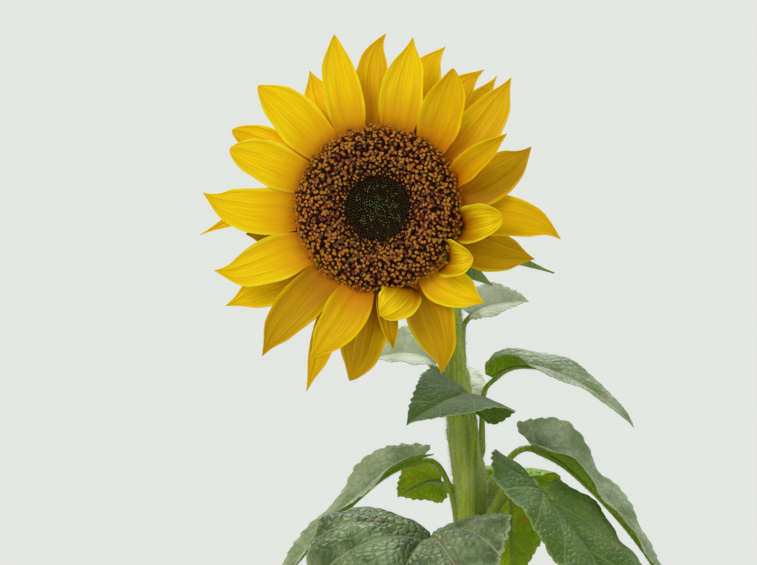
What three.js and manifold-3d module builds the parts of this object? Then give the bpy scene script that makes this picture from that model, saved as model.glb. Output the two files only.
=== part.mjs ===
// A compact garden sunflower, rooted in level ground, with one open flower head.
// Millimetres, +Z up. The origin is the centre of the flat cut under the stem, and the flower faces -Y.

import * as THREE from "three";
import { mergeVertices } from "three/addons/utils/BufferGeometryUtils.js";
import Module from "manifold-3d";

const wasm = await Module();
wasm.setup();

// ---------- driving dimensions ----------

const GAP = 0.3; // clearance between pieces that touch on the plant
const SMALLEST_EDGE = 0.05; // anything finer that a cut or join leaves is smoothed away

// The flower head: where the middle of its face is, and which way it looks.
const FACE = new THREE.Vector3(-55, -80, 800);
const FACE_TURN = 6; // degrees to the left of straight ahead
const FACE_TILT = 6; // degrees above the horizontal
const rad = THREE.MathUtils.degToRad;
const OUTWARD = new THREE.Vector3(
  -Math.sin(rad(FACE_TURN)) * Math.cos(rad(FACE_TILT)),
  -Math.cos(rad(FACE_TURN)) * Math.cos(rad(FACE_TILT)),
  Math.sin(rad(FACE_TILT)),
);

const DISC_RADIUS = 43.5; // the brown cushion of florets
const DISC_CREST = 11; // its height above the face plane
const EYE_RADIUS = 18; // the green middle that hasn't opened yet
const RIM_RADIUS = 44; // the green cup that carries the rays
const CUP_DEPTH = 30; // from the face plane to the end of the neck

// A point of the neck on the flower's own axis, so far behind the face.
const onAxis = (behind, radius) => [...FACE.clone().addScaledVector(OUTWARD, -behind).toArray(), radius];

// The stem's middle line and radius from the ground to the head, as [x, y, z, radius].
const STEM_ROUTE = [
  [0, 0, 0, 17],
  [0, 0, 22, 13.2],
  [0, 0, 70, 12],
  [0, 0, 180, 11.4],
  [1, 1, 330, 10.6],
  [1, 1, 470, 9.8],
  [0, 0, 570, 9.1],
  [0.5, 0, 625, 8.6],
  [-2, 0, 655, 8.6],
  [-6, 0, 679, 8.1],
  [-8.8, 0, 703, 6.9],
  [-9.8, 0, 738, 4.6],
  [-14, 1, 764, 4.3],
  [-26, -5, 784, 4.5],
  [-40, -18, 793, 5],
  onAxis(CUP_DEPTH + 14, 5.8),
  onAxis(CUP_DEPTH + GAP, 7),
];
const STEM_SIDES = 12;
const STEM_STEPS = 30;

// A leaf's blade in parts of its own length and half width.
const BLADE_SLOPE = 0.85; // how far forward a side vein runs for each step outwards
const SWING_START = 0.15; // the share of its swing that a blade has where it starts
const SKEW_REACH = 0.4; // the share of a blade over which its skew fades out
const LEAF_ALONG = 8;
const LEAF_ACROSS = 4;
const STALK_SIDES = 5;
const STALK_STEPS = 8;

// Leaves from the top down. height: where the leaf's line leaves the stem's middle. turn: its direction, 0 to
// the right of the flower's face and 90 behind it. stalk, blade, width: sizes. lobe: how far the blade
// reaches back past the end of the stalk, in parts of its length. skew: how far its right half, seen from the
// stem, lies further back at the foot, and its left half further out. swing: how far the blade turns sideways.
// arch: how far the halves curl down again towards their margins. wave: the ripple of the margins. The lists
// give values spread evenly: climb, the slope along the stalk; fall, the slope along the blade, from the last
// of climb; fold, how steeply the halves rise from the rib; roll, the turn about the rib.
const UPPER_LEAVES = [
  {
    height: 705, turn: -4, stalk: 38, blade: 36, width: 30, lobe: 0.08,
    climb: [20, 95, 90, 85, 40], fall: [14, 6, 0], swing: 0,
    fold: [34, 24], roll: [46, 40], arch: 25, wave: 1,
  },
  {
    height: 672, turn: 176, stalk: 43, blade: 39, width: 44, lobe: 0.08,
    climb: [10, 86, 78, 70, 50], fall: [10, -8, -20], swing: -8,
    fold: [34, 24], roll: [-32, -38], arch: 20, wave: 1,
  },
  {
    height: 668, turn: 96, stalk: 34, blade: 48, width: 42, lobe: 0.1,
    climb: [20, 50, 45], fall: [30, 15, 0], swing: 0,
    fold: [5, 5], roll: [0, 0], arch: 30, wave: 1,
  },
  {
    height: 610, turn: 274, stalk: 80, blade: 93, width: 54, lobe: 0.12,
    climb: [5, 92, 90, 88, 50], fall: [0, -14, -26], swing: -50,
    fold: [14, 14], roll: [-24, -24], arch: 14, wave: 1.5,
  },
  {
    height: 650, turn: -4, stalk: 58, blade: 98, width: 32, lobe: 0.04,
    climb: [5, 92, 90, 86, 46], fall: [0, -20, -30, -40, -48], swing: -4,
    fold: [70, 24, 18, 14, 12], roll: [0, 18, 20, 20, 20], arch: 14, wave: 1.5,
  },
  {
    height: 606, turn: -6, stalk: 76, blade: 112, width: 44, lobe: 0.16, skew: -0.05,
    climb: [10, 84, 76, 50, -22], fall: [-42, -46, -50, -56, -62], swing: -6,
    fold: [54, 30, 24, 20], roll: [34, 4, 6, 12], arch: 18, wave: 2.5,
  },
  {
    height: 606, turn: 184, stalk: 62, blade: 138, width: 32, lobe: 0.1,
    climb: [20, 84, 74, 59, -12], fall: [-40, -44, -48, -53, -59], swing: 4,
    fold: [44, 30, 26, 22], roll: [-26, -10, -8, -10], arch: 14, wave: 2.5,
  },
  {
    height: 627, turn: 142, stalk: 25, blade: 31, width: 38, lobe: 0.08,
    climb: [20, 40, 10], fall: [-20, -28, -32], swing: 24,
    fold: [10, 10], roll: [40, 46], arch: 25, wave: 1.5,
  },
  {
    height: 600, turn: 55, stalk: 58, blade: 90, width: 66, lobe: 0.14,
    climb: [20, 76, 62, 10], fall: [-50, -84, -98, -106], swing: 54,
    fold: [10, 8], roll: [0, 0], arch: 25, wave: 2.5,
  },
  {
    height: 603, turn: -48, stalk: 74, blade: 140, width: 90, lobe: 0.17, skew: 0.08,
    climb: [20, 62, 46, 26, -38], fall: [-42, -52, -64, -74], swing: 8,
    fold: [16, 18, 14], roll: [-10, -8, 0], arch: 30, wave: 3,
  },
  {
    height: 552, turn: 246, stalk: 86, blade: 138, width: 120, lobe: 0.18,
    climb: [45, 60, 50, 36, 10], fall: [-35, -58, -70, -80], swing: -6,
    fold: [36, 22, 10], roll: [0, 0], arch: 40, wave: 3,
  },
];

// The lower leaves follow a rule: one turn of the golden angle for each, further apart further down.
const GOLDEN_ANGLE = 137.5;
const LOWER_COUNT = 13;
const LOWER_TOP = { height: 494, turn: 12 };
const LOWER_BOTTOM_HEIGHT = 96;

// Rays, anticlockwise from the one at the face's right. base and tip: the angle round the face where it
// starts and ends. reach: how far its tip is from the middle. wide: its greatest width. layer: 0 is the front
// row. pitch: its slope off the face plane at the base, middle and tip. cup: how deep its section is hollowed.
const RAYS = [
  { base: 11, tip: 22, reach: 90, wide: 23, layer: 1, pitch: [12, 7, 2], cup: 0.2, roll: 10 },
  { base: 22, tip: 28.5, reach: 80, wide: 13, layer: -0.5, pitch: [40, 28, 16], cup: 0.7, roll: 0 },
  { base: 33, tip: 44.5, reach: 101, wide: 23, layer: 1, pitch: [14, 8, 4], cup: 0.25, roll: 8 },
  { base: 44, tip: 50, reach: 101, wide: 16, layer: 3, pitch: [0, -6, -12], cup: 0.2, roll: 0 },
  { base: 51, tip: 61.5, reach: 85, wide: 21, layer: 0, pitch: [22, 16, 10], cup: 0.35, roll: 6 },
  { base: 60, tip: 53.5, reach: 98, wide: 19, layer: 2, pitch: [6, 2, -2], cup: 0.2, roll: 0 },
  { base: 71, tip: 69, reach: 102, wide: 21, layer: 3, pitch: [0, -4, -8], cup: 0.2, roll: 0 },
  { base: 78, tip: 79, reach: 98, wide: 22, layer: 1, pitch: [14, 8, 2], cup: 0.3, roll: 6 },
  { base: 96, tip: 88, reach: 100, wide: 19, layer: 2, pitch: [8, 4, 2], cup: 0.3, roll: 0 },
  { base: 110, tip: 104.5, reach: 101, wide: 19, layer: 1, pitch: [12, 8, 4], cup: 0.25, roll: 0 },
  { base: 121, tip: 117, reach: 91, wide: 20, layer: 3, pitch: [2, -4, -8], cup: 0.15, roll: 0 },
  { base: 131, tip: 134.5, reach: 98, wide: 23, layer: 1, pitch: [12, 6, 0], cup: 0.15, roll: 0 },
  { base: 141, tip: 141.5, reach: 79, wide: 15, layer: 3.3, pitch: [0, -6, -12], cup: 0.2, roll: 0 },
  { base: 147.5, tip: 151.5, reach: 97, wide: 19, layer: 2.1, pitch: [1, -2, -6], cup: 0.3, roll: 0 },
  { base: 157, tip: 158, reach: 91, wide: 21, layer: 1, pitch: [14, 6, 0], cup: 0.25, roll: 0 },
  { base: 172, tip: 187, reach: 101, wide: 8, layer: 3, pitch: [0, -6, -12], cup: 0.2, roll: 0 },
  { base: 183, tip: 174.5, reach: 99, wide: 24, layer: 1, pitch: [10, 4, 0], cup: 0.15, roll: 0 },
  { base: 192, tip: 190, reach: 77, wide: 20, layer: 2, pitch: [4, 0, -6], cup: 0.2, roll: 0 },
  { base: 208, tip: 200.5, reach: 98, wide: 23, layer: 1, pitch: [10, 4, 0], cup: 0.2, roll: 0 },
  { base: 218, tip: 211.5, reach: 102, wide: 22, layer: 3, pitch: [0, -4, -10], cup: 0.2, roll: 0 },
  { base: 232, tip: 232, reach: 105, wide: 22, layer: 1, pitch: [10, 2, -6], cup: 0.35, roll: 0 },
  { base: 246, tip: 248, reach: 110, wide: 14, layer: 3, pitch: [0, -6, -12], cup: 0.2, roll: 0 },
  { base: 258, tip: 246.5, reach: 90, wide: 22, layer: 0, pitch: [20, 8, -4], cup: 0.3, roll: 0 },
  { base: 266, tip: 260.5, reach: 97, wide: 24, layer: 2, pitch: [4, -2, -8], cup: 0.15, roll: 0 },
  { base: 276, tip: 276.5, reach: 80, wide: 10, layer: 0.8, pitch: [18, -4, -24], cup: 0.5, roll: 0 },
  { base: 290, tip: 272, reach: 58, wide: 20, layer: -0.6, pitch: [66, 28, -42], cup: -0.2, roll: 0 },
  { base: 298, tip: 291, reach: 98, wide: 24, layer: 2, pitch: [2, -6, -14], cup: 0.2, roll: 0 },
  { base: 309, tip: 318.5, reach: 78, wide: 21, layer: 1, pitch: [14, 8, -6], cup: 0.15, roll: 0 },
  { base: 324, tip: 333, reach: 56, wide: 18, layer: -0.3, pitch: [60, 34, 0], cup: 0.5, roll: 0 },
  { base: 338, tip: 342.5, reach: 91, wide: 23, layer: 3, pitch: [6, 0, -6], cup: 0.15, roll: 0 },
  { base: 348, tip: 355, reach: 67, wide: 18, layer: 0, pitch: [54, 30, 4], cup: 0.5, roll: 0 },
  { base: 358, tip: 350.5, reach: 103, wide: 21, layer: 2, pitch: [7, 2, -6], cup: 0.25, roll: 0 },
];
const LAYER_STEP = 2.1; // each row of rays stands this far behind the last
const RAY_THICKNESS = 0.8;
const BEND_START = 0.55; // the share of its bend a ray has at its foot
const RAY_ALONG = 6;
const RAY_ACROSS = 4;

// Green bracts behind the rays, in two rows.
const BRACTS_IN_ROW = 11;
const BRACT_ROWS = [
  { start: 39, depth: 11.5, length: 42, wide: 17, pitch: [-12, -28, -20], shift: 0 },
  { start: 33, depth: 16.5, length: 36, wide: 16, pitch: [-24, -44, -34], shift: 0.5 },
];
// One leafy bract reaches past the rays.
const LONG_BRACT = { base: 341, length: 66, wide: 11, pitch: [-10, -12, -8] };
const BRACT_THICKNESS = 1.1;

const COLOURS = {
  stem: "#7f9a3a",
  leaf: "#5f7f4a",
  involucre: "#6f9440",
  ray: "#f2bd0c",
  rim: "#6a4418",
  eye: "#3c4a1c",
};

// ---------- helpers ----------

const lerp = THREE.MathUtils.lerp;
const clamp = THREE.MathUtils.clamp;

// A closed geometry as a manifold-3d solid: vertices that coincide become one, and faces that collapse go.
function solidOf(geometry) {
  const bare = geometry.clone();
  for (const name of Object.keys(bare.attributes)) if (name !== "position") bare.deleteAttribute(name);
  const merged = mergeVertices(bare, 1e-4);
  const index = merged.index.array;
  const faces = [];
  for (let i = 0; i < index.length; i += 3) {
    const [a, b, c] = [index[i], index[i + 1], index[i + 2]];
    if (a !== b && b !== c && c !== a) faces.push(a, b, c);
  }
  return new wasm.Manifold(
    new wasm.Mesh({
      numProp: 3,
      vertProperties: merged.attributes.position.array,
      triVerts: new Uint32Array(faces),
    }),
  );
}

// A manifold-3d solid as a geometry, without loose scraps.
function geometryOf(solid) {
  const parts = solid.asOriginal().simplify(SMALLEST_EDGE).decompose();
  const mesh = parts.sort((a, b) => b.volume() - a.volume())[0].getMesh();
  const geometry = new THREE.BufferGeometry();
  geometry.setAttribute("position", new THREE.BufferAttribute(mesh.vertProperties, 3));
  geometry.setIndex(new THREE.BufferAttribute(mesh.triVerts, 1));
  return geometry;
}

// Moves each vertex of a geometry to where place(x, y, z, target) puts it.
function reshape(geometry, place) {
  const position = geometry.getAttribute("position");
  const point = new THREE.Vector3();
  for (let i = 0; i < position.count; i++) {
    place(position.getX(i), position.getY(i), position.getZ(i), point);
    position.setXYZ(i, point.x, point.y, point.z);
  }
  return geometry;
}

// A list's value at share 0 to 1 of its length, in straight steps between its entries.
function along(values, share) {
  const place = clamp(share, 0, 1) * (values.length - 1);
  const i = Math.min(Math.floor(place), values.length - 2);
  return lerp(values[i], values[i + 1], place - i);
}

// The rib of a leaf, ray or bract, walked in short steps. slope(s) and turn(s) are its heading in degrees.
// Returns a function that gives, at any length s, the point on the rib and the directions along, across and
// out of it.
function walkRib(length, slope, turn) {
  const step = 1.5;
  const heading = (s) => {
    const [e, a] = [rad(slope(s)), rad(turn(s))];
    return {
      ahead: new THREE.Vector3(Math.cos(e) * Math.cos(a), Math.cos(e) * Math.sin(a), Math.sin(e)),
      side: new THREE.Vector3(-Math.sin(a), Math.cos(a), 0),
      face: new THREE.Vector3(-Math.sin(e) * Math.cos(a), -Math.sin(e) * Math.sin(a), Math.cos(e)),
    };
  };
  const points = [new THREE.Vector3()];
  for (let s = 0; s < length; s += step)
    points.push(points.at(-1).clone().addScaledVector(heading(s + step / 2).ahead, step));
  return (s) => {
    const frame = heading(clamp(s, 0, length));
    const place = clamp(s / step, 0, points.length - 1);
    const i = Math.min(Math.floor(place), points.length - 2);
    return { point: points[i].clone().lerp(points[i + 1], place - i), ...frame };
  };
}

// Turns a frame's side and face about its rib.
function rolled(frame, degrees) {
  const [c, s] = [Math.cos(rad(degrees)), Math.sin(rad(degrees))];
  return {
    ...frame,
    side: frame.side.clone().multiplyScalar(c).addScaledVector(frame.face, s),
    face: frame.face.clone().multiplyScalar(c).addScaledVector(frame.side, -s),
  };
}

// A flat sheet to be shaped. Both its sides are split along the same diagonals, so that a twisted sheet keeps
// its thickness: a box has them crossed, which lets one side of a twisted cell pass through the other.
function sheet(cellsAlong, cellsAcross) {
  const geometry = new THREE.BoxGeometry(1, 1, 1, cellsAlong, cellsAcross, 1);
  const index = geometry.index.array;
  const underside = geometry.groups.at(-1);
  for (let i = underside.start; i < underside.start + underside.count; i += 6) {
    const [a, b, d, c] = [index[i], index[i + 1], index[i + 2], index[i + 4]];
    index.set([a, b, c, a, c, d], i);
  }
  return geometry;
}

// A round limb along a rib or curve: a cylinder whose rings are laid on frameAt(u) at radius radiusAt(u).
function limb(sides, steps, frameAt, radiusAt) {
  return reshape(new THREE.CylinderGeometry(1, 1, 1, sides, steps), (x, y, z, target) => {
    const u = y + 0.5;
    const frame = frameAt(u);
    const radius = radiusAt(u);
    target.copy(frame.point).addScaledVector(frame.side, z * radius).addScaledVector(frame.face, x * radius);
  });
}

// ---------- stem ----------

const stemLine = new THREE.CatmullRomCurve3(
  STEM_ROUTE.map(([x, y, z]) => new THREE.Vector3(x, y, z)),
  false,
  "centripetal",
);

// The stem as a solid of revolution bent along its line, grown outwards by extra.
function stemGeometry(extra) {
  const frames = Array.from({ length: STEM_STEPS + 1 }, (_, i) => {
    const u = i / STEM_STEPS;
    const ahead = stemLine.getTangent(u).normalize();
    const side = new THREE.Vector3(1, 0, 0).addScaledVector(ahead, -ahead.x).normalize();
    return { point: stemLine.getPoint(u), side, face: new THREE.Vector3().crossVectors(ahead, side) };
  });
  return limb(
    STEM_SIDES,
    STEM_STEPS,
    (u) => frames[Math.round(u * STEM_STEPS)],
    (u) => along(STEM_ROUTE.map((p) => p[3]), u) + extra,
  );
}

// The stem's middle at a height.
function stemAt(height) {
  let [low, high] = [0, 0.85];
  for (let i = 0; i < 40; i++) {
    const middle = (low + high) / 2;
    if (stemLine.getPoint(middle).z < height) low = middle;
    else high = middle;
  }
  return stemLine.getPoint(low);
}

// ---------- leaves ----------

// The blade's outline, t from 0 at the tip to 1 at the stalk, in parts of its length and half width.
function bladeOutline(t, lobe) {
  const notch = THREE.MathUtils.smoothstep(t, 0.86, 1);
  const x = (1 - lobe) / 2 + ((1 + lobe) / 2) * Math.cos(Math.PI * t) + lobe * notch;
  const y = Math.sin(Math.PI * t ** 1.35) ** 1.25;
  const anchor = Math.max(x - BLADE_SLOPE * 0.5 * y, 0) + 0.02 * (1 - t);
  return { x, y, anchor };
}

// Where a point of the flat blade, x along the rib and y across it, lies on the living leaf.
function bladePoint(leaf, ribAt, x, y, lift, target) {
  const share = clamp(x / leaf.blade, 0, 1);
  const frame = rolled(ribAt(leaf.stalk + Math.max(x, 0)), along(leaf.roll, share));
  const half = leaf.width / 2;
  const v = Math.abs(y) / half;
  const hand = y < 0 ? -1 : 1;
  const rise = rad(along(leaf.fold, share));
  const curl = rad(leaf.arch);
  const out = (half / curl) * (Math.sin(rise) - Math.sin(rise - curl * v));
  const up = (half / curl) * (Math.cos(rise - curl * v) - Math.cos(rise));
  const ripple = leaf.wave * v * v * Math.sin(2.2 * Math.PI * (x / leaf.blade) * 2 + hand);
  const slant = rise - curl * v;
  return target
    .copy(frame.point)
    .addScaledVector(frame.ahead, Math.min(x, 0))
    .addScaledVector(frame.side, hand * (out - lift * Math.sin(slant)))
    .addScaledVector(frame.face, up + ripple + lift * Math.cos(slant));
}

function leafGeometry(leaf) {
  const length = leaf.stalk + leaf.blade;
  const slopes = [leaf.climb.at(-1), ...leaf.fall];
  const onBlade = (s) => (s - leaf.stalk) / leaf.blade;
  const ribAt = walkRib(
    length,
    (s) => (s < leaf.stalk ? along(leaf.climb, s / leaf.stalk) : along(slopes, onBlade(s))),
    (s) => leaf.swing * clamp(onBlade(s) + SWING_START, 0, 1),
  );
  const thickness = Math.max(1.2, leaf.blade / 95);
  const skew = leaf.skew ?? 0;

  const blade = reshape(sheet(LEAF_ALONG, LEAF_ACROSS), (a, b, c, target) => {
    const { x, y, anchor } = bladeOutline(lerp(0.985, 0.07, a + 0.5), leaf.lobe);
    const v = 2 * b;
    const back = skew * v * clamp(1 - x / SKEW_REACH, 0, 1) ** 2;
    const flatX = (lerp(anchor, x, Math.abs(v)) + back) * leaf.blade;
    bladePoint(leaf, ribAt, flatX, (y * v * leaf.width) / 2, c * thickness, target);
  });

  const stalkRadius = 1.1 + leaf.width / 38;
  const reach = leaf.stalk + 0.14 * leaf.blade;
  const stalk = limb(
    STALK_SIDES,
    STALK_STEPS,
    (u) => {
      const s = u * reach;
      const roll = along(leaf.roll, onBlade(s));
      const frame = rolled(ribAt(s), roll * clamp(s / leaf.stalk, 0, 1));
      frame.point.addScaledVector(frame.face, -0.7 * clamp((s - leaf.stalk) / 8 + 1, 0, 1));
      return frame;
    },
    (u) => stalkRadius * along([1.35, 1, 0.95, 0.9, 0.85, 0.6], u),
  );
  return solidOf(blade).add(solidOf(stalk));
}

// ---------- flower head ----------

// A narrow blade along a rib, such as a ray or a bract: width and cup vary along it.
function strip(ribAt, length, halfWidth, cup, roll, thickness, cellsAlong, cellsAcross) {
  return reshape(sheet(cellsAlong, cellsAcross), (a, b, c, target) => {
    const u = a + 0.5;
    const v = 2 * b;
    const frame = rolled(ribAt(u * length), roll * u);
    const half = halfWidth(u);
    target
      .copy(frame.point)
      .addScaledVector(frame.side, v * half)
      .addScaledVector(frame.face, cup * half * v * v + c * thickness);
  });
}

// Half the width of a ray at share u of its length: narrow at the foot, broad in the middle, then pointed.
const rayHalfWidth = (wide) => (u) => {
  const swell = 0.5 + 0.5 * Math.sin((Math.PI / 2) * Math.min(1, u / 0.45));
  return Math.max(0.6, 0.58 * wide * swell * (1 - u ** 3.2) ** 0.9);
};

// Half the width of a bract: broad at the foot, drawn out to a long point.
const bractHalfWidth = (wide) => (u) => Math.max(0.5, (wide / 2) * (1 - u ** 1.7) ** 1.1);

// The angle between a ray's line and the radius through its foot.
function rayBend(ray) {
  const span = rad(ray.tip - ray.base);
  return Math.atan2(ray.reach * Math.sin(span), ray.reach * Math.cos(span) - RIM_RADIUS);
}

// How far from the middle of the face a ray starts, so that its foot clears the cup.
function rayStart(ray) {
  const foot = rayHalfWidth(ray.wide)(0);
  const lean = Math.sin(rad(Math.max(0, ray.pitch[0]))) * (RAY_THICKNESS + Math.max(0, ray.cup) * foot);
  return RIM_RADIUS + GAP + lean + 0.5 * foot * Math.abs(Math.sin(BEND_START * rayBend(ray)));
}

function rayGeometry(ray) {
  const bend = rayBend(ray);
  const length = ray.reach - RIM_RADIUS - GAP;
  const meanPitch = (ray.pitch[0] + 2 * ray.pitch[1] + ray.pitch[2]) / 4;
  const walked = length / Math.cos(bend) / Math.max(0.5, Math.cos(rad(meanPitch)));
  const ribAt = walkRib(
    walked,
    (s) => along(ray.pitch, s / walked),
    (s) => THREE.MathUtils.radToDeg(bend) * lerp(BEND_START, 2 - BEND_START, s / walked),
  );
  const halfWidth = rayHalfWidth(ray.wide);
  return strip(ribAt, walked, halfWidth, ray.cup, ray.roll, RAY_THICKNESS, RAY_ALONG, RAY_ACROSS);
}

// A ring or dish turned about the face's axis, from [radius, height] points, with the bumps of the florets.
function turned(profile, segments, bump) {
  const points = profile.map(([r, z]) => new THREE.Vector2(r, z));
  const geometry = new THREE.LatheGeometry(points, segments);
  geometry.rotateX(Math.PI / 2);
  return reshape(geometry, (x, y, z, target) => {
    const radius = Math.hypot(x, y);
    const angle = Math.atan2(y, x);
    const cell = Math.cos(angle * segments * 0.5) * Math.cos(radius * 1.1);
    target.set(x, y, z + (z > bump.above ? bump.height * cell : 0));
  });
}

const NO_BUMPS = { above: Infinity, height: 0 };

function bractGeometry(length, wide, pitch) {
  const ribAt = walkRib(length, (s) => along(pitch, s / length), () => 0);
  return strip(ribAt, length, bractHalfWidth(wide), 0.12, 0, BRACT_THICKNESS, 4, 2);
}

// The green cup under the disc, with its bracts fused on.
function involucreGeometry() {
  const cup = turned(
    [
      [0, -CUP_DEPTH],
      [8, -CUP_DEPTH],
      [15, -CUP_DEPTH + 5],
      [30, -19],
      [41, -12.5],
      [RIM_RADIUS, -8.5],
      [RIM_RADIUS, 1.2],
      [0, 1.2],
    ],
    24,
    NO_BUMPS,
  );
  let solid = solidOf(cup);
  const put = (bract, start, depth, angle) => {
    bract.translate(start, 0, -depth).rotateZ(rad(angle));
    solid = solid.add(solidOf(bract));
  };
  for (const row of BRACT_ROWS)
    for (let i = 0; i < BRACTS_IN_ROW; i++) {
      const angle = ((i + row.shift) * 360) / BRACTS_IN_ROW;
      const vary = 1 + 0.1 * Math.sin(i * 2.4 + row.depth);
      put(bractGeometry(row.length * vary, row.wide, row.pitch), row.start, row.depth, angle);
    }
  const first = BRACT_ROWS[0];
  const long = bractGeometry(LONG_BRACT.length, LONG_BRACT.wide, LONG_BRACT.pitch);
  put(long, first.start, first.depth - 1, LONG_BRACT.base);
  return geometryOf(solid);
}

// ---------- assembly ----------

const finish = {};
for (const [name, color] of Object.entries(COLOURS)) {
  const roughness = name === "stem" ? 0.7 : 0.6;
  finish[name] = new THREE.MeshStandardMaterial({ color, roughness, metalness: 0 });
}

const plant = new THREE.Group();

function addStem() {
  const mesh = new THREE.Mesh(stemGeometry(0), finish.stem);
  mesh.name = "stem";
  plant.add(mesh);
}

// The rule for the lower leaves: the widest are a third of the way down, and the lowest droop.
function lowerLeaves() {
  return Array.from({ length: LOWER_COUNT }, (_, i) => {
    const share = i / (LOWER_COUNT - 1);
    const size = 0.86 + 0.3 * Math.sin(Math.PI * Math.min(1, share * 1.15 + 0.12)) - 0.12 * share;
    return {
      height: lerp(LOWER_TOP.height, LOWER_BOTTOM_HEIGHT, share ** 0.92),
      turn: LOWER_TOP.turn + i * GOLDEN_ANGLE,
      stalk: 95 * size,
      blade: 160 * size,
      width: 134 * size,
      lobe: 0.16,
      climb: [lerp(40, 30, share), lerp(62, 50, share), lerp(44, 34, share), lerp(22, 8, share)],
      fall: [-12, lerp(-30, -38, share), lerp(-48, -56, share), lerp(-60, -66, share)],
      swing: 8 * Math.sin(i * 1.7),
      fold: [30, 16],
      arch: 38,
      roll: [5 * Math.sin(i * 2.3), 5 * Math.cos(i * 1.9)],
      wave: 3,
    };
  });
}

function addLeaves() {
  const grownStem = stemGeometry(GAP);
  [...UPPER_LEAVES, ...lowerLeaves()].forEach((leaf, i) => {
    const mesh = new THREE.Mesh(undefined, finish.leaf);
    mesh.name = "leaf_" + String(i + 1).padStart(2, "0");
    mesh.position.copy(stemAt(leaf.height));
    mesh.rotation.z = rad(leaf.turn);
    mesh.updateMatrix();
    const cutter = solidOf(grownStem.clone().applyMatrix4(mesh.matrix.clone().invert()));
    mesh.geometry = geometryOf(leafGeometry(leaf).subtract(cutter));
    plant.add(mesh);
  });
}

function addHead() {
  const head = new THREE.Group();
  head.position.copy(FACE);
  const right = new THREE.Vector3(Math.cos(rad(FACE_TURN)), -Math.sin(rad(FACE_TURN)), 0);
  head.quaternion.setFromRotationMatrix(
    new THREE.Matrix4().makeBasis(right, new THREE.Vector3().crossVectors(OUTWARD, right), OUTWARD),
  );

  const involucre = new THREE.Mesh(involucreGeometry(), finish.involucre);
  involucre.name = "involucre";

  const floor = 1.2 + GAP;
  const rim = new THREE.Mesh(
    turned(
      [
        [EYE_RADIUS + GAP, floor],
        [DISC_RADIUS - 1.5, floor],
        [DISC_RADIUS, 4.5],
        [40, 9],
        [33, DISC_CREST],
        [26, DISC_CREST - 2],
        [EYE_RADIUS + GAP, 5],
        [EYE_RADIUS + GAP, floor],
      ],
      40,
      { above: 6, height: 0.9 },
    ),
    finish.rim,
  );
  rim.name = "disc_rim";
  const eye = new THREE.Mesh(
    turned([[0, floor], [EYE_RADIUS, floor], [EYE_RADIUS, 4.6], [12, 4.2], [6, 4.4], [0, 4.8]], 24, NO_BUMPS),
    finish.eye,
  );
  eye.name = "disc_eye";
  head.add(involucre, rim, eye);

  RAYS.forEach((ray, i) => {
    const mesh = new THREE.Mesh(rayGeometry(ray), finish.ray);
    mesh.name = "ray_" + String(i + 1).padStart(2, "0");
    const start = rayStart(ray);
    mesh.position.set(
      start * Math.cos(rad(ray.base)),
      start * Math.sin(rad(ray.base)),
      -0.2 - ray.layer * LAYER_STEP,
    );
    mesh.rotation.z = rad(ray.base);
    head.add(mesh);
  });
  plant.add(head);
}

addStem();
addLeaves();
addHead();

export default plant;
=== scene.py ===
"""Dresses a compact garden sunflower: a hairy stem, toothed quilted leaves and one open flower head.

Sizes are in millimetres and repeat the named values and the rules of the plant's solids. Every mesh is
written out in metres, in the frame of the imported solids.
"""

import logging
import math
from dataclasses import dataclass, field
from enum import Enum
from functools import partial
from typing import Callable

import bpy
import numpy as np
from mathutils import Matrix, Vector

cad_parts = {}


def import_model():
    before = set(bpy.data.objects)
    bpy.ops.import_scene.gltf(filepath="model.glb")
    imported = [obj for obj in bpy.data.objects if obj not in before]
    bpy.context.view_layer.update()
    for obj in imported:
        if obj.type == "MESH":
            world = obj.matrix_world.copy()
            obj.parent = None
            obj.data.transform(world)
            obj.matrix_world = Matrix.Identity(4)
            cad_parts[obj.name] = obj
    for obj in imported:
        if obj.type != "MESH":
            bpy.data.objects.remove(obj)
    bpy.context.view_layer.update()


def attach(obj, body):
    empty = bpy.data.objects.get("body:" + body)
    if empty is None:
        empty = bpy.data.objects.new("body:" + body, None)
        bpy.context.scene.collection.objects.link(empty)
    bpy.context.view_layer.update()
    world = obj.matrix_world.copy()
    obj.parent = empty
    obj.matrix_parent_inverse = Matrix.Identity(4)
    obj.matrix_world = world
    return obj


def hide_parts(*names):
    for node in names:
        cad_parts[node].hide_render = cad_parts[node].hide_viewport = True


log = logging.getLogger("sunflower")

Array = np.ndarray
MM = 0.001  # metres in a millimetre
FLAT_UNIT = 10.0  # the millimetres of a flat blade in one unit of its UV map
BLADE_NUMBERS = ("vein", "rib", "edge", "dry")  # what a blade keeps for each point, for its finish
BODY = "root"
RNG_SEED = 20


class Slot(Enum):
    """Names of material slots. Pieces are handed one, which dress does not use."""

    STEM = "stem"
    LEAF = "leaf"
    BRACT = "bract"
    FLORET = "floret"
    BUD = "bud_floret"
    RAY = "ray"


# ---------- arithmetic ----------


def along(values: tuple, share: Array) -> Array:
    """Reads a list, spread evenly from share 0 to share 1, at each share, in straight steps."""
    return np.interp(share, np.linspace(0.0, 1.0, len(values)), values)


def smooth(value: Array, low: float, high: float) -> Array:
    """Rises from 0 at low to 1 at high without a corner."""
    share = np.clip((value - low) / (high - low), 0.0, 1.0)
    return share * share * (3.0 - 2.0 * share)


def pillow(value: Array, power: float) -> Array:
    """A row of humps, 0 at the whole numbers and 1 halfway between: the higher the power, the flatter."""
    return 1.0 - np.abs(2.0 * (value - np.floor(value)) - 1.0) ** power


def unit(vectors: Array) -> Array:
    """Scales each row to length 1."""
    return vectors / np.linalg.norm(vectors, axis=-1, keepdims=True)


def polar(radius: Array, angle: Array, height: Array) -> Array:
    """Points at a radius from Z, an angle round it in radians and a height, one row each."""
    return np.stack(np.broadcast_arrays(radius * np.cos(angle), radius * np.sin(angle), height), -1)


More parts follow.
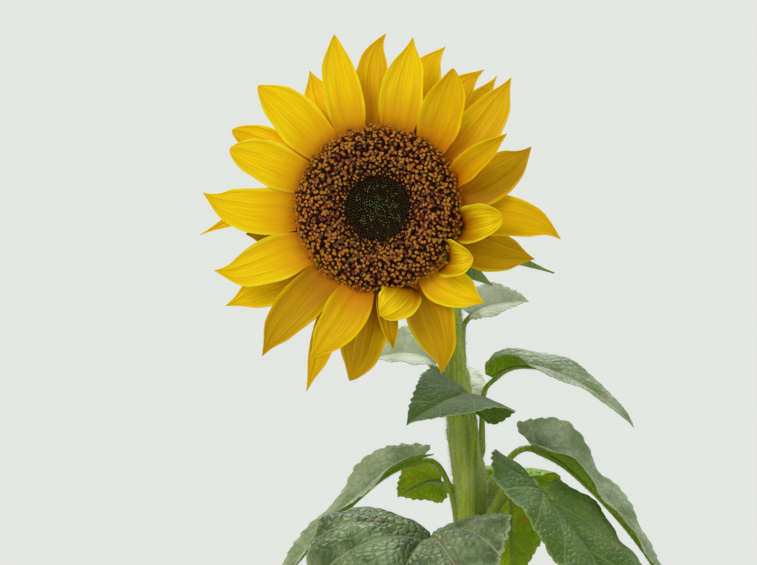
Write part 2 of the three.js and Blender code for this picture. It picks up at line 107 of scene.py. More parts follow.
def turned(points: Array, degrees: float) -> Array:
    """Turns points anticlockwise about Z."""
    c, s = math.cos(math.radians(degrees)), math.sin(math.radians(degrees))
    return points @ np.array([[c, s, 0.0], [-s, c, 0.0], [0.0, 0.0, 1.0]])


@dataclass
class Frames:
    """Points of a line, each with the directions along, across and out of it."""

    point: Array
    ahead: Array
    side: Array
    face: Array

    def rolled(self, degrees: Array) -> "Frames":
        """Turns side and face about the line, by a number of degrees at each point."""
        c = np.cos(np.radians(degrees))[:, None]
        s = np.sin(np.radians(degrees))[:, None]
        return Frames(self.point, self.ahead, c * self.side + s * self.face, c * self.face - s * self.side)

    def placed(self, across: Array, out: Array) -> Array:
        """Points beside the line, each so far across along its side and so far out along its face."""
        return self.point + self.side * across[:, None] + self.face * out[:, None]


class Rib:
    """The middle line of a leaf, ray or bract, walked in short steps from the origin."""

    STEP = 1.5

    def __init__(self, length: float, slope: Callable, turn: Callable) -> None:
        """Walks the line.

        Args:
            length: How long the line is.
            slope: The slope in degrees at each length.
            turn: The sideways heading in degrees at each length.
        """
        self.length = length
        self.slope = slope
        self.turn = turn
        starts = np.arange(0.0, length, self.STEP)
        steps = self.heading(starts + self.STEP / 2)[0] * self.STEP
        self.points = np.vstack([np.zeros((1, 3)), np.cumsum(steps, axis=0)])

    def heading(self, s: Array) -> tuple:
        """The directions along, across and out of the line at each length s."""
        e, a = np.radians(self.slope(s)), np.radians(self.turn(s))
        side = np.stack([-np.sin(a), np.cos(a), np.zeros_like(a)], 1)
        return polar(np.cos(e), a, np.sin(e)), side, polar(-np.sin(e), a, np.cos(e))

    def frames(self, s: Array) -> Frames:
        """The line's frames at each length s."""
        ahead, side, face = self.heading(np.clip(s, 0.0, self.length))
        place = np.clip(s / self.STEP, 0.0, len(self.points) - 1)
        steps = np.arange(len(self.points))
        point = np.stack([np.interp(place, steps, self.points[:, k]) for k in range(3)], 1)
        return Frames(point, ahead, side, face)


# ---------- meshes ----------


def deselect_all() -> None:
    """Leaves nothing selected, so that an operator acts on one piece."""
    bpy.ops.object.select_all(action="DESELECT")


def make_active(piece: bpy.types.Object) -> None:
    """Selects one piece alone."""
    deselect_all()
    piece.select_set(True)
    bpy.context.view_layer.objects.active = piece


def coordinates(piece: bpy.types.Object) -> Array:
    """The piece's vertices, one row each."""
    flat = np.empty(len(piece.data.vertices) * 3)
    piece.data.vertices.foreach_get("co", flat)
    return flat.reshape(-1, 3)


def move_vertices(piece: bpy.types.Object, points: Array) -> None:
    """Puts each vertex where points, in millimetres, says."""
    piece.data.vertices.foreach_set("co", (points * MM).astype(np.float32).ravel())
    piece.data.update()


def flat_grid(name: str, cells_along: int, cells_across: int) -> tuple:
    """Adds a grid to be shaped.

    Args:
        name: The piece's name.
        cells_along: Faces along X.
        cells_across: Faces along Y.

    Returns:
        The piece, each vertex's share along from 0 to 1, and its place across from -1 to 1.
    """
    deselect_all()
    bpy.ops.mesh.primitive_grid_add(x_subdivisions=cells_along, y_subdivisions=cells_across, size=1.0)
    piece = bpy.context.object
    piece.name = name
    flat = coordinates(piece)
    return piece, np.clip(flat[:, 0] + 0.5, 0.0, 1.0), np.clip(2.0 * flat[:, 1], -1.0, 1.0)


def lay_uv(piece: bpy.types.Object, u: Array, v: Array) -> None:
    """Gives the piece its own UV map, from one pair of numbers for each vertex."""
    mesh = piece.data
    corner = np.empty(len(mesh.loops), dtype=np.int32)
    mesh.loops.foreach_get("vertex_index", corner)
    layer = mesh.uv_layers.active or mesh.uv_layers.new(name="flat")
    layer.name = "flat"
    layer.data.foreach_set("uv", np.stack([u[corner], v[corner]], 1).astype(np.float32).ravel())


def lay_attribute(piece: bpy.types.Object, name: str, values: Array) -> None:
    """Stores one number for each vertex under a name that materials read."""
    attribute = piece.data.attributes.new(name, "FLOAT", "POINT")
    attribute.data.foreach_set("value", values.astype(np.float32))


def weld(piece: bpy.types.Object) -> None:
    """Joins vertices that coincide and points every face outwards."""
    make_active(piece)
    bpy.ops.object.mode_set(mode="EDIT")
    bpy.ops.mesh.select_all(action="SELECT")
    bpy.ops.mesh.remove_doubles(threshold=0.000001)
    bpy.ops.mesh.normals_make_consistent(inside=False)
    bpy.ops.object.mode_set(mode="OBJECT")


def thicken(piece: bpy.types.Object, thickness: float, other_slots: bool = False) -> None:
    """Gives a sheet its thickness, evenly to both sides.

    Args:
        piece: The sheet.
        thickness: In millimetres.
        other_slots: Whether the underside and the edge take the next two material slots.
    """
    make_active(piece)
    wall = piece.modifiers.new("thickness", "SOLIDIFY")
    wall.thickness = thickness * MM
    wall.offset = 0.0
    if other_slots:
        wall.material_offset = 1
        wall.material_offset_rim = 2
    bpy.ops.object.modifier_apply(modifier=wall.name)


def join(pieces: list, name: str) -> bpy.types.Object:
    """Joins pieces into the first, under a new name."""
    make_active(pieces[0])
    for piece in pieces:
        piece.select_set(True)
    bpy.ops.object.join()
    pieces[0].name = name
    return pieces[0]


def smooth_shaded(piece: bpy.types.Object, degrees: float = 50.0) -> None:
    """Shades the piece smooth, but for edges sharper than an angle."""
    make_active(piece)
    bpy.ops.object.shade_smooth_by_angle(angle=math.radians(degrees))


@dataclass
class Seed:
    """A small shape that is modelled once and copied many times."""

    points: Array
    faces: list

    @classmethod
    def from_piece(cls, piece: bpy.types.Object) -> "Seed":
        """Reads a piece's mesh, in millimetres, and removes the piece."""
        seed = cls(coordinates(piece), [tuple(p.vertices) for p in piece.data.polygons])
        bpy.data.objects.remove(piece)
        return seed

    @classmethod
    def drawn_out(cls, sides: int, rings: int, half_width: Callable) -> "Seed":
        """A round body of height 1 that stands on the origin, drawn out of a ball.

        Args:
            sides: Faces round it.
            rings: Rows of faces from foot to top.
            half_width: Gives half its width at each height from 0 to 1.

        Returns:
            The shape.
        """
        deselect_all()
        bpy.ops.mesh.primitive_uv_sphere_add(segments=sides, ring_count=rings, radius=1.0)
        ball = cls.from_piece(bpy.context.object)
        x, y, z = ball.points.T
        level = np.clip(0.5 + 0.5 * z, 0, 1)
        ring = np.hypot(x, y)
        poles = ring <= 0.01
        keep = np.where(poles, 0.0, half_width(level) / np.where(poles, 1.0, ring))
        return cls(np.stack([x * keep, y * keep, level], 1), ball.faces)

    @classmethod
    def thorn(cls, radius: float) -> "Seed":
        """A hair: a three-sided cone of length 1 that stands on the origin."""
        deselect_all()
        middle = (0, 0, 0.5)
        bpy.ops.mesh.primitive_cone_add(vertices=3, radius1=radius, radius2=0.0, depth=1.0, location=middle)
        bpy.ops.object.transform_apply(location=True)
        return cls.from_piece(bpy.context.object)

    def copies(self, name: str, at: Array, ahead: Array, size: Array, spin: Array) -> bpy.types.Object:
        """Joins many copies in one mesh.

        Args:
            name: The piece's name.
            at: Where each copy stands.
            ahead: The direction of each copy's Z.
            size: Each copy's size across and along, two columns.
            spin: Each copy's turn about its own Z, in radians.

        Returns:
            The piece.
        """
        up = unit(ahead)
        helper = np.where(np.abs(up[:, 2:]) < 0.9, [[0.0, 0.0, 1.0]], [[1.0, 0.0, 0.0]])
        east = unit(np.cross(helper, up))
        north = np.cross(up, east)
        c, s = np.cos(spin)[:, None], np.sin(spin)[:, None]
        x_axis, y_axis = c * east + s * north, c * north - s * east
        local = self.points
        points = (
            at[:, None, :]
            + (size[:, :1, None] * local[None, :, 0:1]) * x_axis[:, None, :]
            + (size[:, :1, None] * local[None, :, 1:2]) * y_axis[:, None, :]
            + (size[:, 1:, None] * local[None, :, 2:3]) * up[:, None, :]
        )
        count = len(at)
        lengths = np.array([len(f) for f in self.faces])
        corners = np.concatenate([np.array(f) for f in self.faces])
        mesh = bpy.data.meshes.new(name)
        mesh.vertices.add(count * len(local))
        mesh.vertices.foreach_set("co", (points * MM).astype(np.float32).ravel())
        loops = (corners[None, :] + np.arange(count)[:, None] * len(local)).ravel()
        mesh.loops.add(len(loops))
        mesh.loops.foreach_set("vertex_index", loops.astype(np.int32))
        starts = np.concatenate([[0], np.cumsum(np.tile(lengths, count))[:-1]])
        mesh.polygons.add(count * len(lengths))
        mesh.polygons.foreach_set("loop_start", starts.astype(np.int32))
        mesh.polygons.foreach_set("use_smooth", np.ones(count * len(lengths), dtype=bool))
        mesh.update(calc_edges=True)
        piece = bpy.data.objects.new(name, mesh)
        bpy.context.collection.objects.link(piece)
        return piece


@dataclass
class Tube:
    """A round limb, from the frames of its middle line and its radius all round."""

    middle: Callable
    radius: Callable

    def skin(self, u: Array, turn: Array) -> Array:
        """Points of its surface, at shares of its length and angles round it in radians."""
        r = self.radius(u, turn)
        return self.middle(u).placed(r * np.cos(turn), r * np.sin(turn))

    def normal(self, u: Array, turn: Array) -> Array:
        """The surface's outward direction, from its slope in both directions."""
        d = 0.002
        over = self.skin(np.clip(u + d, 0, 1), turn) - self.skin(np.clip(u - d, 0, 1), turn)
        round_it = self.skin(u, turn + d) - self.skin(u, turn - d)
        return unit(np.cross(round_it, over))

    def piece(self, name: str, rings: int, sides: int) -> bpy.types.Object:
        """Builds the limb as a closed mesh with flat ends.

        Args:
            name: The piece's name.
            rings: Rows of faces along it.
            sides: Faces round it.

        Returns:
            The piece, with a UV map of the length and the angle.
        """
        piece, row, v = flat_grid(name, rings, sides)
        ring = np.round(row * rings)
        u = np.clip((ring - 1) / (rings - 2), 0.0, 1.0)
        turn = math.pi * v
        ends = (ring == 0) | (ring == rings)
        points = np.where(ends[:, None], self.middle(u).point, self.skin(u, turn))
        move_vertices(piece, points)
        lay_uv(piece, u, 0.5 + 0.5 * v)
        weld(piece)
        return piece


# ---------- materials ----------

SMOOTHLY = {"interpolation_type": "SMOOTHSTEP"}  # makes a Map Range rise without corners


def srgb(code: str) -> tuple:
    """Turns an sRGB hex colour to linear red, green, blue and an alpha of 1."""
    parts = [int(code[i : i + 2], 16) / 255.0 for i in (1, 3, 5)]
    linear = [c / 12.92 if c <= 0.04045 else ((c + 0.055) / 1.055) ** 2.4 for c in parts]
    return (*linear, 1.0)


def scale_of(size_mm: float) -> float:
    """The scale of a pattern on coordinates in metres, whose patches are about size_mm across."""
    return 1.0 / (size_mm * MM)


def add_node(
    tree: bpy.types.NodeTree, kind: str, inputs: tuple | dict = (), output: int | str = 0, **settings
) -> bpy.types.NodeSocket | None:
    """Adds a node with its settings and links.

    Args:
        tree: The node tree.
        kind: The node's type, without the ShaderNode that starts it.
        inputs: What goes in, in order or by name or number: values, hex colours or other nodes' outputs.
        output: The name or number of the output that is wanted.
        **settings: The node's own properties.

    Returns:
        The output, or None from a node that has none.
    """
    node = tree.nodes.new("ShaderNode" + kind)
    for name, value in settings.items():
        setattr(node, name, value)
    named = inputs if isinstance(inputs, dict) else dict(enumerate(inputs))
    for name, value in named.items():
        if isinstance(value, bpy.types.NodeSocket):
            tree.links.new(value, node.inputs[name])
        else:
            node.inputs[name].default_value = srgb(value) if isinstance(value, str) else value
    return node.outputs[output] if node.outputs else None


def layered(tree: bpy.types.NodeTree, base: str, layers: tuple) -> bpy.types.NodeSocket:
    """Lays colours over a base, one after the other.

    Args:
        tree: The node tree.
        base: The hex colour underneath.
        layers: For each layer, its share from 0 to 1 and its hex colour.

    Returns:
        The colour that results.
    """
    colour = base
    for share, tint in layers:
        colour = add_node(tree, "Mix", {0: share, 6: colour, 7: tint}, 2, data_type="RGBA")
    return colour


@dataclass(frozen=True)
class Finish:
    """What every finish of the plant shares: a name, a plain colour and how it takes the light."""

    name: str
    colour: str
    roughness: float = 0.55
    sheen: float = 0.0
    gloss: float = 0.2  # how much light the surface mirrors

    SHEEN_ROUGHNESS = 0.4

    def material(self) -> bpy.types.Material:
        """The finish as a material, made once and shared by the pieces that have it."""
        known = bpy.data.materials.get(self.name)
        if known:
            return known
        made = bpy.data.materials.new(self.name)
        made.use_nodes = True
        tree = made.node_tree
        tree.nodes.clear()
        inputs = {
            "Base Color": self.colour,
            "Roughness": self.roughness,
            "Specular IOR Level": self.gloss,
            "Sheen Weight": self.sheen,
            "Sheen Roughness": self.SHEEN_ROUGHNESS,
        }
        surface = add_node(tree, "BsdfPrincipled", inputs)
        add_node(tree, "OutputMaterial", {"Surface": surface})
        for name, drawn in self.pattern(tree).items():
            tree.links.new(drawn, surface.node.inputs[name])
        return made

    def pattern(self, tree: bpy.types.NodeTree) -> dict:
        """Draws the finish's own pattern: none in a plain finish.

        Args:
            tree: The material's node tree.

        Returns:
            The output that drives each input of the shader.
        """
        return {}


@dataclass(frozen=True)
class StemSkin(Finish):
    """Green epidermis over fine ribs: satin, streaked along the limb, with paler blotches."""

    shade: str = "#5f7426"
    light: str = "#a7b666"
    streak_mm: float = 1.6  # the width of one streak
    stretch: float = 14.0  # how many times longer than wide it is
    blotch_mm: float = 22.0
    bump_mm: float = 0.2

    def pattern(self, tree: bpy.types.NodeTree) -> dict:
        """Draws streaks along the limb and blotches over them."""
        add = partial(add_node, tree)
        place = add("TexCoord", output="Object")
        squeezed = add("Mapping", {"Vector": place, "Scale": (1.0, 1.0, 1.0 / self.stretch)})
        streaks = add("TexNoise", {"Vector": squeezed, "Scale": scale_of(self.streak_mm), "Detail": 3.0})
        blotches = add("TexNoise", {"Vector": place, "Scale": scale_of(self.blotch_mm), "Detail": 2.0})
        dark = add("MapRange", (streaks, 0.42, 0.62, 0.55, 0.0), **SMOOTHLY)
        pale = add("MapRange", (blotches, 0.48, 0.7, 0.0, 0.7), **SMOOTHLY)
        colour = layered(tree, self.colour, ((dark, self.shade), (pale, self.light)))
        bump = add("Bump", {"Height": streaks, "Distance": self.bump_mm * MM, "Strength": 1.0})
        return {"Base Color": colour, "Normal": bump}


@dataclass(frozen=True)
class LeafSide(Finish):
    """Leaf blade: a waxy skin over a net of veins, dull from its fine hairs, with a pale margin.

    The veins, the margin and the dry patches follow numbers that the blade keeps for each of its points.
    """

    shade: str = "#6f8450"
    vein: str = "#b9c698"
    net_mm: float = 4.2  # the width of the smallest cells between veins
    valley_shade_share: float = 0.3  # how strongly the painted shade in the hollows of the net between the veins darkens the colour
    valley_shade: str = "#3f5a22"  # the painted shade in the hollows between the small swellings
    vein_share: float = 0.5  # how strongly the veins are coloured
    dry: str = "#94805a"
    cloud_mm: float = 16.0
    grain_mm: float = 0.9
    bump_mm: float = 0.7

    def pattern(self, tree: bpy.types.NodeTree) -> dict:
        """Draws the veins and the net between them, with painted shade in the net's hollows, then the dry
        patches and the margin.
        """
        add = partial(add_node, tree)
        flat = add("UVMap", uv_map="flat")
        place = add("TexCoord", output="Object")
        vein, rib, edge, dry = (
            add("Attribute", output="Fac", attribute_name=name) for name in BLADE_NUMBERS
        )
        from_rib = add("Math", (rib,), operation="ABSOLUTE")
        midrib = add("MapRange", (from_rib, 0.4, 1.2, 1.0, 0.0), **SMOOTHLY)
        shifted = add("Math", (vein, 0.5), operation="ADD")
        order = add("Math", (shifted,), operation="FRACT")
        offset = add("Math", (order, 0.5), operation="SUBTRACT")
        from_vein = add("Math", (offset,), operation="ABSOLUTE")
        side_vein = add("MapRange", (from_vein, 0.012, 0.05, 1.0, 0.0), **SMOOTHLY)
        veins = add("Math", (side_vein, midrib), operation="MAXIMUM")
        inputs = {"Vector": flat, "Scale": FLAT_UNIT / self.net_mm, "Randomness": 0.9}
        cells = add("TexVoronoi", inputs, voronoi_dimensions="2D", feature="DISTANCE_TO_EDGE")
        net = add("MapRange", (cells, 0.0, 0.2, 1.0, 0.0), **SMOOTHLY)
        cloud = add("TexNoise", {"Vector": place, "Scale": scale_of(self.cloud_mm), "Detail": 3.0})
        grain = add("TexNoise", {"Vector": place, "Scale": scale_of(self.grain_mm), "Detail": 2.0})
        shaded = add("MapRange", (cloud, 0.35, 0.65), **SMOOTHLY)
        # painted shade: darkens the hollows of the net between the veins
        sunk = add("Math", (net, self.valley_shade_share), operation="MULTIPLY")
        raised = add("Math", (veins, self.vein_share), operation="MULTIPLY")
        clouded = add("Math", (cloud, 0.35, dry), operation="MULTIPLY_ADD")
        speckled = add("Math", (grain, 0.5, clouded), operation="MULTIPLY_ADD")
        dried = add("MapRange", (speckled, 0.9, 1.25, 0.0, 0.55), **SMOOTHLY)
        hem = add("MapRange", (edge, 0.95, 1.0, 0.0, 0.7), **SMOOTHLY)
        layers = (
            (shaded, self.shade),
            (sunk, self.valley_shade),
            (raised, self.vein),
            (dried, self.dry),
            (hem, self.vein),
        )
        seam = add("MapRange", (cells, 0.0, 0.34, 0.8, 0.0), **SMOOTHLY)
        hollow = add("Math", (veins, seam), operation="MAXIMUM")
        swell = add("Math", (1.0, hollow), operation="SUBTRACT")
        height = add("Math", (grain, 0.35, swell), operation="MULTIPLY_ADD")
        bump = add("Bump", {"Height": height, "Distance": self.bump_mm * MM, "Strength": 1.0})
        return {"Base Color": layered(tree, self.colour, layers), "Normal": bump}


@dataclass(frozen=True)
class Petal(Finish):
    """Ray petal: thin, silky and long-grained, orange at its foot, with painted highlights on its margins and
    outer streaks.
    """

    foot: str = "#c87206"
    warm: str = "#dc9402"
    # the painted highlight on the margins and on the outer streaks
    pale: str = "#ffec20"
    grain: float = 17.0  # streaks across the petal
    blend: float = 0.23  # the share of its length over which the foot's colour fades
    bump_mm: float = 0.45

    def pattern(self, tree: bpy.types.NodeTree) -> dict:
        """Draws the change of colour along the petal, the fine streaks and the painted highlights on the
        margins and the outer streaks.
        """
        add = partial(add_node, tree)
        flat = add("UVMap", uv_map="flat")
        run = add("SeparateXYZ", (flat,))
        from_left = add("Math", (run.node.outputs[1], 2.0, -1.0), operation="MULTIPLY_ADD")
        across = add("Math", (from_left,), operation="ABSOLUTE")
        drawn = add("Mapping", {"Vector": flat, "Scale": (1.6, self.grain, 1.0)})
        streaks = add("TexNoise", {"Vector": drawn, "Scale": 1.0, "Detail": 3.0})
        off_foot = add("MapRange", (run, 0.02, self.blend), **SMOOTHLY)
        full = add("MapRange", (run, 0.5 * self.blend, 2.4 * self.blend), **SMOOTHLY)
        dark = add("MapRange", (streaks, 0.36, 0.58, 0.45, 0.0), **SMOOTHLY)
        margin = add("MapRange", (across, 0.8, 1.0), **SMOOTHLY)
        past_foot = add("MapRange", (run, 0.1, 0.4, 0.0, 0.8), **SMOOTHLY)
        # painted highlight along the margins, past the foot
        bright = add("Math", (margin, past_foot), operation="MULTIPLY")
        streak = add("MapRange", (streaks, 0.55, 0.7), **SMOOTHLY)
        outer = add("MapRange", (run, 0.2, 0.6, 0.0, 0.45), **SMOOTHLY)
        # painted highlight on the paler streaks towards the tip
        lit = add("Math", (streak, outer), operation="MULTIPLY")
        layers = (
            (off_foot, self.warm),
            (full, self.colour),
            (dark, self.warm),
            (bright, self.pale),
            (lit, self.pale),
        )
        bump = add("Bump", {"Height": streaks, "Distance": self.bump_mm * MM, "Strength": 1.0})
        return {"Base Color": layered(tree, self.foot, layers), "Normal": bump}


STEM_SKIN = StemSkin(
    "sunflower_stem_skin", "#b6c838", roughness=0.5, sheen=0.05, shade="#7e9420", light="#c8d46c"
)
STALK_SKIN = StemSkin("sunflower_leaf_stalk", "#92aa2a", roughness=0.5, sheen=0.05, shade="#6c8618")
HAIR = Finish("sunflower_white_hair", "#eef2e2", roughness=0.5)
LEAF_HEM = Finish("sunflower_leaf_margin", "#a9b880", roughness=0.6)


class LeafLook(Enum):
    """How a leaf's two sides look, from the silvery young tops to the mature lower ones. The silvery and
    palest tops are lightened with painted light and a painted reflection of the sky off their hairs.
    """

    # painted light and painted reflection: a very pale top, lit and silvered far beyond the leaf's own green
    PALE = (
        LeafSide(
            "leaf_top_pale_painted_sheen", "#dce4ca", 0.45, 0.1,
            shade="#c0ccaa", vein="#e2e8d4", valley_shade_share=0.1, bump_mm=0.2,
        ),
        LeafSide("leaf_under_pale", "#a8c43c", 0.55, 0.05, shade="#92ac2c", vein="#bcd064", bump_mm=0.3),
    )
    # painted reflection: a silvery top that stands in for the sky's sheen off the hairs
    SILVER = (
        LeafSide(
            "leaf_top_silver_painted_sheen", "#aab894", 0.42, 0.1,
            shade="#84966a", vein="#bccaa6", valley_shade_share=0.2, bump_mm=0.3,
        ),
        # painted light shining through the blade: a bright yellow-green underside
        LeafSide("leaf_under_painted_glow", "#9cc020", 0.55, 0.05, shade="#86a816", vein="#b0cc48", bump_mm=0.45),
    )
    MATT = (
        LeafSide(
            "leaf_top_matt", "#4e6626", 0.6, 0.05,
            shade="#3e541a", vein="#68813c", vein_share=0.4, bump_mm=0.3,
        ),
        LeafSide("leaf_under_matt", "#6c8a2c", 0.6, 0.05, shade="#5c7a22", vein="#8aa24a"),
    )
    QUILTED = (
        LeafSide(
            "leaf_top_quilted", "#889c68", 0.36, 0.08, 0.4,
            shade="#526834", vein="#b0c090", bump_mm=1.3,
        ),
        LeafSide("leaf_under_quilted", "#7c9c24", 0.5, 0.05, shade="#68881c", vein="#9cb548"),
    )
    YOUNG = (
        LeafSide(
            "leaf_top_young", "#a2c42c", 0.5, 0.05,
            shade="#84a81e", vein="#c8de48", dry="#dca620", valley_shade="#6c9418",
        ),
        # painted light shining through the blade: a vivid yellow-green underside
        LeafSide(
            "leaf_under_young_painted_glow", "#d0e42a", 0.5, 0.05,
            shade="#a4c41c", vein="#c8dc4c", dry="#d8a420", valley_shade="#6c9a18",
        ),
    )
    MATURE = (
        LeafSide("leaf_top_mature", "#647e34", 0.48, 0.05, shade="#527028", vein="#829a50", bump_mm=0.6),
        LeafSide("leaf_under_mature", "#7e9c32", 0.5, 0.05, shade="#688626", vein="#9cb450"),
    )


def paint(piece: bpy.types.Object, *finishes: Finish) -> None:
    """Adds a material slot to the piece for each finish."""
    for finish in finishes:
        piece.data.materials.append(finish.material())


def dress(piece: bpy.types.Object, slot: Slot, *finishes: Finish, replaces: tuple = ()) -> None:
    """Gives a piece its materials and its place in the frame.

    Args:
        piece: The piece.
        slot: Not used.
        *finishes: One for each material slot that the piece still lacks.
        replaces: The solids it stands for.
    """
    paint(piece, *finishes)
    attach(piece, BODY)
    if replaces:
        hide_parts(*replaces)
    log.info("%s: %d faces", piece.name, len(piece.data.polygons))


# ---------- stem ----------

FACE = np.array([-55.0, -80.0, 800.0])  # the middle of the flower's face
FACE_TURN = math.radians(6.0)  # how far it looks away from -Y towards -X
FACE_TILT = math.radians(6.0)  # how far it looks up
OUTWARD = np.array(
    [
        -math.sin(FACE_TURN) * math.cos(FACE_TILT),
        -math.cos(FACE_TURN) * math.cos(FACE_TILT),
        math.sin(FACE_TILT),
    ]
)
RIGHT = np.array([math.cos(FACE_TURN), -math.sin(FACE_TURN), 0.0])
HEAD_AXES = np.stack([RIGHT, np.cross(OUTWARD, RIGHT), OUTWARD])

GAP = 0.3  # between the rim and the rays, and between the cup and the stem
DISC_CREST = 11.0  # how far the highest florets stand out from the face
EYE_RADIUS = 18.0  # of the sunken middle
RIM_RADIUS = 44.0
CUP_DEPTH = 30.0


def in_head(points: Array) -> Array:
    """Turns points of the flower head, X right, Y up and Z outwards, to the plant's frame."""
    return FACE + points @ HEAD_AXES


def on_axis(behind: float, radius: float) -> tuple:
    """A point of the stem's route on the flower's own axis, so far behind its face."""
    return (*(FACE - behind * OUTWARD), radius)


@dataclass(frozen=True)
class Ridge:
    """Where a leaf's stalk joins the stem, which it runs down as a ridge, and the stalk's radius."""

    height: float
    turn: float
    radius: float


@dataclass
class Stem:
    """The stem, from the flat cut at the ground to the neck behind the flower head."""

    route: tuple = (
        (0, 0, 0, 17),
        (0, 0, 22, 13.2),
        (0, 0, 70, 12),
        (0, 0, 180, 11.4),
        (1, 1, 330, 10.6),
        (1, 1, 470, 9.8),
        (0, 0, 570, 9.1),
        (0.5, 0, 625, 8.6),
        (-2, 0, 655, 8.6),
        (-6, 0, 679, 8.1),
        (-8.8, 0, 703, 6.9),
        (-9.8, 0, 738, 4.6),
        (-14, 1, 764, 4.3),
        (-26, -5, 784, 4.5),
        (-40, -18, 793, 5),
        on_axis(CUP_DEPTH + 14, 5.8),
        on_axis(CUP_DEPTH + GAP, 7),
    )  # each point's place, and the stem's radius there
    rings: int = 460
    sides: int = 56
    rib_count: int = 15
    rib_depth: float = 0.16
    ridge_run: float = 95.0  # how far a stalk's ridge runs down the stem
    ridge_lead: float = 1.6  # how many of its radii a ridge starts above the stalk's line
    neck_share: float = 0.85  # below this share of the line its height only rises
    thick_from: float = 540.0  # the height from which its hairs stand thickly
    upper_hairs: int = 20000
    lower_hairs: int = 6000
    ridges: list = field(default_factory=list)

    def line(self, u: Array) -> Array:
        """The stem's middle line: a centripetal Catmull-Rom curve through the route's points."""
        p = np.array([r[:3] for r in self.route], dtype=float)
        p = np.vstack([2 * p[0] - p[1], p, 2 * p[-1] - p[-2]])
        place = np.clip(u, 0.0, 1.0) * (len(self.route) - 1)
        i = np.minimum(np.floor(place).astype(int), len(self.route) - 2)
        t = (place - i)[:, None]
        p0, p1, p2, p3 = p[i], p[i + 1], p[i + 2], p[i + 3]
        spans = (p1 - p0, p2 - p1, p3 - p2)
        d0, d1, d2 = (np.linalg.norm(span, axis=1)[:, None] ** 0.5 for span in spans)
        t1 = ((p1 - p0) / d0 - (p2 - p0) / (d0 + d1) + (p2 - p1) / d1) * d1
        t2 = ((p2 - p1) / d1 - (p3 - p1) / (d1 + d2) + (p3 - p2) / d2) * d1
        return p1 + t1 * t + (3 * (p2 - p1) - 2 * t1 - t2) * t**2 + (2 * (p1 - p2) + t1 + t2) * t**3

    def share_at(self, height: float) -> float:
        """The share of the line where it passes a height, below the neck."""
        u = np.linspace(0.0, self.neck_share, 4000)
        return float(np.interp(height, self.line(u)[:, 2], u))

    def middle(self, u: Array) -> Frames:
        """The frames of the middle line."""
        d = 0.0005
        ahead = unit(self.line(u + d) - self.line(u - d))
        side = unit(np.array([[1.0, 0.0, 0.0]]) - ahead[:, :1] * ahead)
        return Frames(self.line(u), ahead, side, np.cross(ahead, side))

    def radius(self, u: Array, turn: Array) -> Array:
        """The stem's radius, with fine ribs, root flare and the ridges under the leaf stalks."""
        r = np.interp(u, np.linspace(0, 1, len(self.route)), [p[3] for p in self.route])
        z = self.line(u)[:, 2]
        twist = 0.0025 * z
        slim = smooth(u, 1.0, 0.8)
        r = r + self.rib_depth * slim * np.sin(self.rib_count * turn + twist)
        r = r + 0.1 * np.sin(5 * turn + 0.03 * z) * np.sin(0.045 * z + turn)
        r = r + 0.9 * np.exp(-z / 16.0) * np.sin(5 * turn + 1.0)
        bump = np.zeros_like(r)
        for ridge in self.ridges:
            down = ridge.height - z
            fade = smooth(down, -self.ridge_lead * ridge.radius, 1.0) * smooth(down, self.ridge_run, 0.0)
            gap = np.angle(np.exp(1j * (turn - math.radians(ridge.turn))))
            spread = 1.15 * ridge.radius / np.maximum(r, 4.0)
            bump = np.maximum(bump, 0.75 * ridge.radius * fade * np.exp(-((gap / spread) ** 2)))
        return r + bump

    def build(self) -> None:
        """Builds the stem's skin and its coat of hairs."""
        tube = Tube(self.middle, self.radius)
        skin = tube.piece("stem_skin", self.rings, self.sides)
        smooth_shaded(skin)
        dress(skin, Slot.STEM, STEM_SKIN, replaces=("stem",))
        self.grow_hairs(tube)

    def grow_hairs(self, tube: Tube) -> None:
        """Stands hairs on the stem, thickly above the lower leaves and thinly towards the ground."""
        coat = HairCoat("stem_hairs", np.random.default_rng(RNG_SEED))
        split = self.share_at(self.thick_from)
        upper = coat.rng.uniform(split, 0.97, self.upper_hairs)
        u = np.concatenate([upper, coat.rng.uniform(0.03, split, self.lower_hairs)])
        turn = coat.rng.uniform(-math.pi, math.pi, len(u))
        coat.root_in(tube, u, turn, coat.rng.uniform(0.9, 2.9, len(u)))
        coat.build(Slot.STEM)


@dataclass
class HairCoat:
    """Stiff white hairs. A real one is a tenth of a millimetre thick, and these are drawn twice as coarse."""

    name: str
    rng: np.random.Generator
    radius: float = 0.11
    disorder: float = 0.28  # how far a hair leans at random
    rows: list = field(default_factory=list)

    def root(self, roots: Array, out: Array, length: Array) -> None:
        """Takes in more hairs: where they stand, the directions away from the skin, and their lengths."""
        self.rows.append((roots, out, np.stack([np.ones(len(length)), length], 1)))

    def root_in(self, tube: Tube, u: Array, turn: Array, length: Array) -> None:
        """Takes in more hairs, on a limb at shares of its length and angles round it."""
        self.root(tube.skin(u, turn), tube.normal(u, turn), length)

    def build(self, slot: Slot) -> None:
        """Stands all the hairs, each leaning at random, as one piece."""
        roots, out, size = (np.vstack(part) for part in zip(*self.rows))
        lean = out + self.rng.normal(0.0, self.disorder, out.shape)
        spin = self.rng.uniform(0.0, 2 * math.pi, len(lean))
        hairs = Seed.thorn(self.radius).copies(self.name, roots - 0.1 * out, lean, size, spin)
        dress(hairs, slot, HAIR)


# ---------- leaves ----------


@dataclass(frozen=True)
class DryPatch:
    """A dry patch on a blade: its middle in parts of the blade's length and half width, and its radius."""

    along: float
    across: float
    radius: float


class Tier(Enum):
    """How finely a leaf is built: the most faces across it, and the hairs on a millimetre of thin stalk."""

    UPPER = (48, 2.5)
    LOWER = (32, 1.0)


